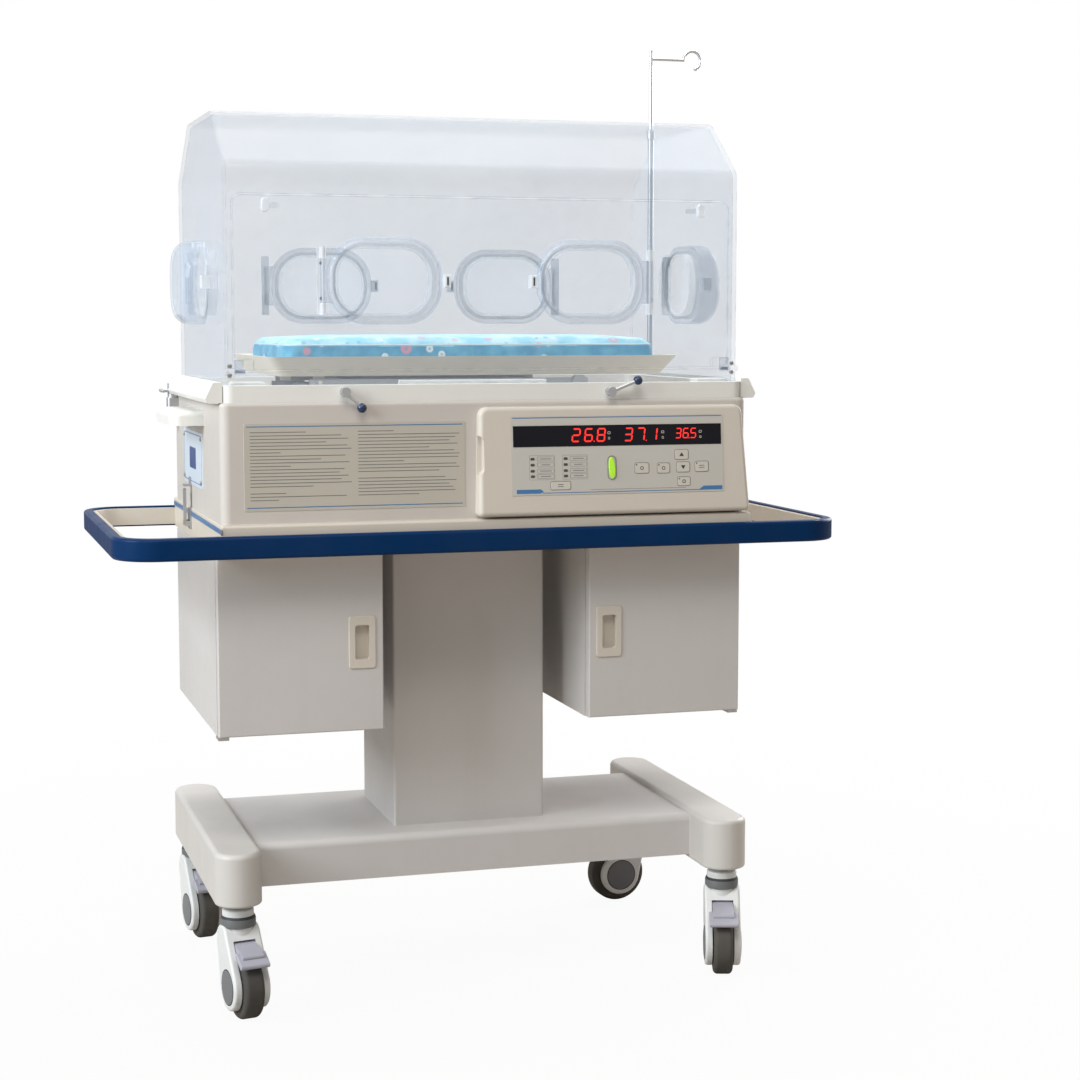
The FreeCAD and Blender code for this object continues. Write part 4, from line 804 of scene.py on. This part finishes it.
def make_keys():
    """Domed membrane keys with generic marks."""
    for name, (x0, x1, y0, y1) in KEYS.items():
        def body(grid):
            slab(grid, x0 + KEY_INSET, x1 - KEY_INSET, y0 + KEY_INSET, y1 - KEY_INSET, 3,
                 FACE_OUT, FACE_OUT + KEY_RISE, 0.5)
        display_piece("key_" + name, body, "key_light")

        def rim(grid):
            frame_outline(grid, x0, x1, y0, y1, 3.4, 0.7, FACE_OUT, FACE_OUT + 0.2)
        display_piece("key_rim_" + name, rim, "key")

        def mark(grid):
            x, y = (x0 + x1) / 2, (y0 + y1) / 2
            if name in ("up", "down"):
                way = 1 if name == "up" else -1
                low, high = y - 2.6 * way, y + 3.4 * way
                arrow = [(x - 3.8, low), (x + 3.8, low), (x, high)]
                raise_outline(grid, arrow[::way], MARK_LOW, MARK_HIGH)
            elif name in ("mute", "mode"):
                for shift in (-1.6, 1.6):
                    slab(grid, x - 4.5, x + 4.5, y + shift - 0.4, y + shift + 0.4, 0.3,
                         MARK_LOW, MARK_HIGH, steps=2)
            else:
                frame_outline(grid, x - 2.8, x + 2.8, y - 2.8, y + 2.8, 2.6, 1.0, MARK_LOW,
                              MARK_HIGH)
            if name not in ("up", "down", "mute"):
                slab(grid, x0 + 2, x0 + 4.4, y1 - 4.6, y1 - 2.4, 1.1, MARK_LOW, MARK_HIGH,
                     steps=3)
        display_piece("key_mark_" + name, mark, "key_mark")


def make_display_trim():
    """Lit mains key, blue rules and corner bars of the display."""
    def mains(grid):
        middle, half, low, high, count = MAINS_KEY
        outline = []
        for step in range(count):
            angle = math.tau * step / count
            along = (high - low) / 2 * math.sin(angle)
            across = half * math.cos(angle) - MAINS_LEAN * along
            outline.append((middle + across, (high + low) / 2 + along))
        raise_outline(grid, outline, FACE_OUT, FACE_OUT + MAINS_RISE, 1.2)
    display_piece("mains_key", mains, "green")

    def mains_rim(grid):
        frame_outline(grid, *MAINS_RIM, 7, 0.8, FACE_OUT, FACE_OUT + 0.7)
    display_piece("mains_key_rim", mains_rim, "key")

    def rules(grid):
        for edges in LONG_RULES:
            slab(grid, *edges, 0.5, FACE_OUT, FACE_OUT + PRINT, steps=2)
        for points in CORNER_BARS:
            raise_outline(grid, points, FACE_OUT, FACE_OUT + PRINT)
    display_piece("display_rules", rules, "plate_blue")

    def fine_rule(grid):
        slab(grid, *FINE_RULE, 0.2, FACE_OUT, FACE_OUT + FINE_PRINT, steps=2)
    display_piece("display_fine_rule", fine_rule, "key")


# Plates and trim on the body and deck

WALLS = {
    "front": ((1, 0, 0), (0, 0, -1), (0, 1, 0)),
    "back": ((-1, 0, 0), (0, 0, 1), (0, 1, 0)),
    "left": ((0, 0, -1), (-1, 0, 0), (0, 1, 0)),
}


def wall_matrix(wall, spot):
    """Local frame of an upright face: x to the right as seen from outside, y up, z out of it."""
    return Matrix.Translation(Vector(spot) * MM) @ Matrix(WALLS[wall]).to_4x4()


def plate_piece(name, build, material, matrix):
    """Piece drawn flat on the body."""
    show(name, build, material, "stand", matrix, smooth=False)


def make_record_plate():
    """Bare record plate on the front: ruled like a form, with no words."""
    x0, x1, z0, z1 = RECORD_PLATE
    matrix = wall_matrix("front", (0, BODY_FRONT, 0))
    top = RECORD_PLATE_OUT

    def base(grid):
        slab(grid, x0, x1, z0, z1, 3, -PLATE_SUNK, top, 0.3)
    plate_piece("record_plate", base, "plate", matrix)

    def lines(grid):
        for z in (z1 - 4.5, z0 + 5.0):
            slab(grid, x0 + 4, x1 - 4, z - LINE_HALF, z + LINE_HALF, 0.4, top, top + PRINT,
                 steps=2)
    plate_piece("record_plate_lines", lines, "plate_blue", matrix)

    def rules(grid):
        middle = (x0 + x1) / 2
        columns = ((x0 + RULE_MARGIN, middle - 7), (middle + 3, x1 - RULE_MARGIN))
        step = (z1 - z0 - 24) / len(RULE_SHARES)
        for index, shares in enumerate(RULE_SHARES):
            z = z1 - 13 - index * step
            for (left, right), share in zip(columns, shares):
                if share > 0:
                    slab(grid, left, left + (right - left) * share, z - RULE_HALF, z + RULE_HALF,
                         0.4, top, top + FINE_PRINT, steps=2)
    plate_piece("record_plate_rules", rules, "plate_grey", matrix)


def make_filter_plate():
    """Plate of the air filter door on the left end, with a blue window."""
    x0, x1, z0, z1 = FILTER_PLATE
    matrix = wall_matrix("left", (BODY_LEFT, 0, 0))
    top = FILTER_PLATE_OUT

    def base(grid):
        slab(grid, x0, x1, z0, z1, 5, -PLATE_SUNK, top, 0.6)
    plate_piece("filter_plate", base, "plate_pale", matrix)

    def frame_lines(grid):
        inset = FILTER_FRAME_INSET
        frame_outline(grid, x0 + inset, x1 - inset, z0 + inset, z1 - inset, 4, 1.4, top, top + 0.15)
    plate_piece("filter_plate_frame", frame_lines, "plate_blue", matrix)

    def window(grid):
        x, z = (x0 + x1) / 2, (z0 + z1) / 2
        wide, tall = FILTER_WINDOW[0] / 2, FILTER_WINDOW[1] / 2
        slab(grid, x - wide, x + wide, z - tall, z + tall, 3, top, top + 0.7, 0.5)
    plate_piece("filter_window", window, "plate_dark", matrix)
    inset = FILTER_SCREW_INSET
    corners = [(x, z) for z in (z0 + inset, z1 - inset) for x in (x0 + inset, x1 - inset)]
    for index, (x, z) in enumerate(corners):
        screw_head(f"filter_plate_screw_{index}", (BODY_LEFT - top, -x, z), (-1, 0, 0),
                   FILTER_SCREW, "stand")


def make_deck_strip():
    """Pale blue strip along the deck's left edge, ending in a dark cap at the front."""
    y0, y1 = STRIP_RUN
    low, high = STRIP_HEIGHT, STRIP_HEIGHT + STRIP_WIDTH
    matrix = wall_matrix("left", (DECK_LEFT, 0, 0))

    def strip(grid):
        slab(grid, -y1, -y0, low, high, 2.5, -SUNK, STRIP_OUT, 0.8)
    show("deck_strip", strip, "strip", "stand", matrix)

    def cap(grid):
        slab(grid, -y0 - 1, -y0 + 9, low - 1, high + 1, 2.5, -SUNK, STRIP_OUT + 0.4, 0.8)
    show("deck_strip_cap", cap, "collar", "stand", matrix)


def make_vents():
    """Rows of dark slabs low on the body's back, over the fan: painted shade standing for the open
    slots.
    """
    long, tall = VENT_HALF

    def slots(grid):
        for z in VENT_ROWS:
            for index in range(VENT_COUNT):
                x = VENT_START + index * VENT_PITCH
                slab(grid, -x - long, -x + long, z - tall, z + tall, 2.9, -SUNK, 0.35)
    # The dark slabs are painted shade where the vent openings would be.
    plate_piece("air_vents", slots, "dark", wall_matrix("back", (0, BODY_BACK, 0)))


# Screws, slots, caps and covers

def make_port_marks():
    """Screws in the port hinges, and dark marks on the catches, which face the front: painted shade
    standing for the catches' slots.
    """
    walls = (("front", "panel", HOOD_FRONT, -1, CATCH_OUT),
             ("back", "hood", HOOD_BACK, 1, HOOD_BACK - CATCH_IN))
    wide, tall = CATCH_SLOT
    for place, side in SIDES:
        for wall, body, face, out, catch in walls:
            for index, z in enumerate(HINGE_SCREWS):
                screw_head(f"port_screw_{wall}_{place}_{index}",
                           (side * HINGE_X, face + out * HINGE_OUT, z), (0, out, 0),
                           HINGE_SCREW, body, "dark")

            # Flat dark mark of painted shade where the catch's slot would be.
            def slot(grid):
                x = side * CATCH_X
                slab(grid, x - wide, x + wide, PORT_MIDDLE - tall, PORT_MIDDLE + tall, 1.2, 0, 0.5)
            show(f"catch_slot_{wall}_{place}", slot, "dark", body,
                 wall_matrix("front", (0, catch, 0)), smooth=False)


def make_screws():
    """Screw heads at the lower corners of the hood."""
    for place, side in SIDES:
        for index, z in enumerate(HOOD_SCREWS):
            screw_head(f"hood_screw_{place}_{index}", (side * HOOD_SCREW_X, HOOD_FRONT, z),
                       (0, -1, 0), HOOD_SCREW, "hood")


def make_lever_covers():
    """Dark blue ball covers on the two tilt levers."""
    steps = 12
    for place, (spot, radius) in LEVER_BALLS.items():
        angles = [math.pi * (step / steps - 0.5) for step in range(1, steps)]
        arc = [(radius * math.cos(angle), radius * math.sin(angle)) for angle in angles]
        show_turned(f"lever_ball_{place}", [(0, -radius), *arc, (0, radius)], 28, "ball",
                    f"lever_{place}", facing((0, -1, 0), spot))


def make_collars():
    """Grey collars with a dark upper rim, round the caster necks."""
    size, top = COLLAR_RADIUS, COLLAR_HEIGHT
    shoulder = (size - 0.4, top - 4.8)
    collar = ((size - 4, 0), (size - 1, 0), (size, 1.2), (size, top - 5.5), shoulder)
    rim = (shoulder, (size - 1.4, top - 2.2), (size - 3.2, top - 0.8), (size - 3.8, top))
    for label, ((x, y), _) in CASTERS.items():
        _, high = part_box(f"caster_housing_{label}")
        matrix = Matrix.Translation(Vector((x, y, high.z / MM - COLLAR_DROP)) * MM)
        for part, profile, finish in (("collar", collar, "collar"), ("rim", rim, "dark")):
            show_turned(f"caster_{part}_{label}", profile, 40, finish, f"swivel_{label}",
                        matrix)


def make_hub_discs():
    """Grey discs on the outer faces of the caster covers, each ringed by a flat dark band of
    painted shade that stands for its groove.
    """
    size = HUB_DISC
    disc = ((size, 0.1), (size - 0.4, 0.9), (size - 3, 1.3), (size - 14, 1.6), (0, 1.7))
    # Flat dark ring: painted shade where the groove round the disc would be.
    groove = ((size + 1.6, 0.0), (size + 1.4, 0.35), (size - 0.5, 0.35))
    for label, (_, heading) in CASTERS.items():
        low, high = (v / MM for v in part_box(f"wheel_{label}"))
        angle = math.radians(heading)
        for side, end in ((-1, "inner"), (1, "outer")):
            out = Vector((side * math.cos(angle), side * math.sin(angle), 0))
            matrix = facing(out, (low + high) / 2 + out * COVER_OUT)
            for part, profile, finish in (("disc", disc, "hub"), ("groove", groove, "dark")):
                show_turned(f"hub_{part}_{label}_{end}", profile, 44, finish, f"swivel_{label}",
                            matrix)


# The mattress

def mattress_box():
    """Start shape of the mattress: its block, a little smaller than the space it fills."""
    low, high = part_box("mattress")
    inset = Vector(PAD_INSET)
    low, high = low + inset, high - inset

    def build(grid):
        slab(grid, low.x / MM, high.x / MM, low.y / MM, high.y / MM, PAD_CORNER, low.z / MM,
             high.z / MM, 5, steps=6)
    mesh = mesh_from("mattress_cushion", build)
    for point in mesh.vertices:
        point.co *= MM
    return mesh


def apply_modifiers(piece):
    """Put the result of the modifiers into the mesh."""
    graph = bpy.context.evaluated_depsgraph_get()
    mesh = bpy.data.meshes.new_from_object(piece.evaluated_get(graph))
    old = piece.data
    piece.modifiers.clear()
    piece.data = mesh
    bpy.data.meshes.remove(old)


def settle(piece):
    """Blow the pad up with cloth pressure, keep each point within its cap and apply it."""
    remesh = piece.modifiers.new("even_mesh", "REMESH")
    remesh.mode = "VOXEL"
    remesh.voxel_size = PAD_VOXEL
    apply_modifiers(piece)
    start = [point.co.copy() for point in piece.data.vertices]
    cloth = piece.modifiers.new("pad", "CLOTH")
    cloth.settings.use_pressure = True
    cloth.settings.uniform_pressure_force = PAD_PRESSURE
    cloth.settings.quality = 5
    cloth.settings.effector_weights.gravity = 0.0
    cloth.settings.tension_stiffness = PAD_STIFFNESS
    cloth.settings.compression_stiffness = PAD_STIFFNESS
    cloth.settings.bending_stiffness = 0.6
    cloth.point_cache.frame_start = 1
    cloth.point_cache.frame_end = PAD_FRAMES
    for step in range(1, PAD_FRAMES + 1):
        bpy.context.scene.frame_set(step)
    apply_modifiers(piece)
    bpy.context.scene.frame_set(1)
    for point, place in zip(piece.data.vertices, start):
        move = point.co - place
        if move.length > PAD_CAP:
            point.co = place + move.normalized() * PAD_CAP


def make_mattress():
    """Crowned foam pad with a piped seam at the edge of its printed top, lying on the tray."""
    low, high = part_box("mattress")
    piece = bpy.data.objects.new("mattress_cushion", mattress_box())
    bpy.context.scene.collection.objects.link(piece)
    settle(piece)
    middle = (low + high) / 2
    half = (high - low) / 2
    top = high.z - middle.z
    for point in piece.data.vertices:
        reach = Vector(((point.co.x - middle.x) / half.x, (point.co.y - middle.y) / half.y))
        point.co.z = max(point.co.z, low.z + TRAY_GAP)
        if point.co.z > middle.z:
            share = min((point.co.z - middle.z) / top, 1.0)
            swell = (1 - reach.x ** 6) * (1 - reach.y ** 4)
            swell += 0.12 * math.sin(9 * reach.x + 1.3) * math.cos(4 * reach.y)
            point.co.z = middle.z + top * share + CROWN * MM * share * max(swell, 0.0)
        for axis in (0, 1):
            limit = half[axis] + PAD_SLACK
            point.co[axis] = min(max(point.co[axis], middle[axis] - limit), middle[axis] + limit)
    piece.data.materials.clear()
    piece.data.materials.append(FINISH["mattress"])
    piece.data.materials.append(FINISH["mattress_side"])
    side_top = middle.z + top * PRINTED_SHARE
    for face in piece.data.polygons:
        face.material_index = 1 if face.center.z < side_top else 0
    piece.data.shade_smooth()
    smooth = piece.modifiers.new("round", "SUBSURF")
    smooth.levels = 1
    smooth.render_levels = 1
    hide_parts("mattress")
    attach(piece, "tray")
    make_piping(piece, side_top)


def piping_line(pad, height):
    """Closed line of points on the pad's side at one height."""
    low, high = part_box("mattress")
    middle = (low + high) / 2
    outline = rounded_outline(low.x / MM + PIPING_INSET, high.x / MM - PIPING_INSET,
                              low.y / MM + PIPING_INSET, high.y / MM - PIPING_INSET,
                              PIPING_CORNER, 8)
    surface = pad.evaluated_get(bpy.context.evaluated_depsgraph_get())
    points = []
    for (x, y), after in zip(outline, outline[1:] + outline[:1]):
        runs = max(1, round(math.dist((x, y), after) / PIPING_STEP))
        for step in range(runs):
            share = step / runs
            along = (x + (after[0] - x) * share, y + (after[1] - y) * share)
            spot = Vector((*along, height / MM)) * MM
            away = (spot - Vector((middle.x, middle.y, height))).normalized()
            hit, place, _, _ = surface.ray_cast(spot + away * 0.1, -away)
            points.append((place if hit else spot) - away * PIPING_SUNK)
    return points


def make_piping(pad, height):
    """Piped seam that follows the pad's side."""
    points = piping_line(pad, height)

    def build(grid):
        rings = []
        for index, spot in enumerate(points):
            along = (points[(index + 1) % len(points)] - points[index - 1]).normalized()
            across = Vector((along.y, -along.x, 0)).normalized()
            up = along.cross(across)
            ring = []
            for step in range(PIPING_SIDES):
                angle = math.tau * step / PIPING_SIDES
                out = math.cos(angle) * across + math.sin(angle) * up
                ring.append(grid.verts.new((spot + PIPING * MM * out) / MM))
            rings.append(ring)
        for lower, upper in zip(rings, rings[1:] + rings[:1]):
            bridge(grid, lower, upper)
    show("mattress_piping", build, "piping", "tray")


# Camera, light and floor

def make_camera():
    """Camera at the photograph's angle."""
    data = bpy.data.cameras.new("camera")
    data.sensor_width = SENSOR
    data.lens = CAMERA_LENS
    data.clip_start = 0.05
    camera = bpy.data.objects.new("camera", data)
    camera.location = CAMERA_SPOT
    camera.rotation_euler = (math.pi / 2 - CAMERA_PITCH, 0, -CAMERA_YAW)
    bpy.context.scene.collection.objects.link(camera)
    bpy.context.scene.camera = camera


def make_lamp(name, spot, target, width, height, power, colour):
    """Soft rectangular studio lamp aimed at a point."""
    data = bpy.data.lights.new(name, "AREA")
    data.shape = "RECTANGLE"
    data.size = width
    data.size_y = height
    data.energy = power
    data.color = colour
    lamp = bpy.data.objects.new(name, data)
    lamp.location = spot
    aim = Vector(target) - Vector(spot)
    lamp.rotation_euler = aim.to_track_quat("-Z", "Y").to_euler()
    bpy.context.scene.collection.objects.link(lamp)


def mix_shaders(tree, factor, first, second):
    """Mix of two shaders."""
    mixed = add(tree, "ShaderNodeMixShader")
    join(tree, factor, mixed.inputs["Fac"])
    join(tree, first, mixed.inputs[1])
    join(tree, second, mixed.inputs[2])
    return mixed.outputs["Shader"]


def make_world():
    """Even light for the object; white where the camera, glass or metal sees the room."""
    world = bpy.data.worlds.new("studio")
    bpy.context.scene.world = world
    world.use_nodes = True
    tree = world.node_tree
    tree.nodes.clear()
    path = add(tree, "ShaderNodeLightPath")
    mirrored = times(tree, path.outputs["Is Glossy Ray"], GLOSS_LIGHT)
    seen = math_node(tree, "MAXIMUM", path.outputs["Is Camera Ray"], mirrored)
    lights = []
    for colour, strength in ((ROOM_COLOUR, ROOM_LIGHT), (WHITE, 1.0)):
        light = add(tree, "ShaderNodeBackground")
        light.inputs["Color"].default_value = colour
        light.inputs["Strength"].default_value = strength
        lights.append(light.outputs["Background"])
    out = add(tree, "ShaderNodeOutputWorld")
    join(tree, mix_shaders(tree, seen, *lights), out.inputs["Surface"])


def make_floor():
    """Pale floor that keeps the object's shadow and fades into the white room."""
    mesh = bpy.data.meshes.new("floor")
    size = FLOOR_SIZE
    corners = [(-size, -size, 0), (size, -size, 0), (size, size, 0), (-size, size, 0)]
    mesh.from_pydata(corners, [], [(0, 1, 2, 3)])
    floor = bpy.data.objects.new("floor", mesh)
    bpy.context.scene.collection.objects.link(floor)
    material, tree, shade = shader("pale_floor", Base_Color=srgb(*FLOOR_COLOUR), Roughness=0.9)
    glow = add(tree, "ShaderNodeEmission")
    glow.inputs["Strength"].default_value = 1.0
    path = add(tree, "ShaderNodeLightPath")
    far = add(tree, "ShaderNodeVectorMath", operation="LENGTH")
    join(tree, object_space(tree), far.inputs[0])
    fade = spread(tree, far.outputs["Value"], *FLOOR_FADE, FLOOR_GLOW, 1.0)
    seen = times(tree, path.outputs["Is Camera Ray"], fade)
    mixed = mix_shaders(tree, seen, shade.outputs["BSDF"], glow.outputs["Emission"])
    join(tree, mixed, tree.nodes["Material Output"].inputs["Surface"])
    mesh.materials.append(material)


def make_studio():
    """Camera, lamps, room and floor."""
    bpy.context.scene.view_settings.view_transform = "Standard"
    make_camera()
    for lamp in LAMPS:
        make_lamp(*lamp)
    make_world()
    make_floor()


# The CAD nodes' finishes, by the start of their names; the longest start that fits counts

NODE_FINISHES = {
    "foot_": "foot", "base_beam": "cabinet", "column_cover": "cabinet", "deck_frame": "deck",
    "bumper_rail": "bumper", "cabinet_pivots": "steel", "cabinet_": "cabinet",
    "caster_stems": "steel", "body_housing": "body", "display_case": "display",
    "display_face": "face", "display_window": "window", "side_grip": "seat",
    "latch_plates": "steel", "pole_sockets": "steel", "pole_tube": "steel", "hood_seat": "seat",
    "tilt_brackets": "steel", "caster_housing": "caster", "brake_pedal": "pedal",
    "wheel_": "tyre", "door_pull": "display", "hood_shell": "hood", "hood_port_rings": "ring",
    "hood_port_fittings": "fitting", "front_panel": "hood", "panel_port_rings": "ring",
    "panel_port_fittings": "fitting", "port_door": "door", "panel_latch": "fitting",
    "tray_carrier": "steel", "mattress_tray": "tray", "tilt_lever": "steel", "toggle_": "steel",
    "clamp_screw": "steel", "pole_rod": "chrome",
}


def dress_nodes():
    """Give every CAD node its finish."""
    for name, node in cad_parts.items():
        starts = [start for start in NODE_FINISHES if name.startswith(start)]
        if not starts:
            continue
        finish = FINISH[NODE_FINISHES[max(starts, key=len)]]
        if not node.data.materials:
            node.data.materials.append(finish)
        for place in node.material_slots:
            place.material = finish


FINISH = make_materials()
make_studio()
dress_nodes()
make_readouts()
make_lamps()
make_keys()
make_display_trim()
make_record_plate()
make_filter_plate()
make_deck_strip()
make_vents()
make_port_marks()
make_screws()
make_lever_covers()
make_collars()
make_hub_discs()
make_mattress()
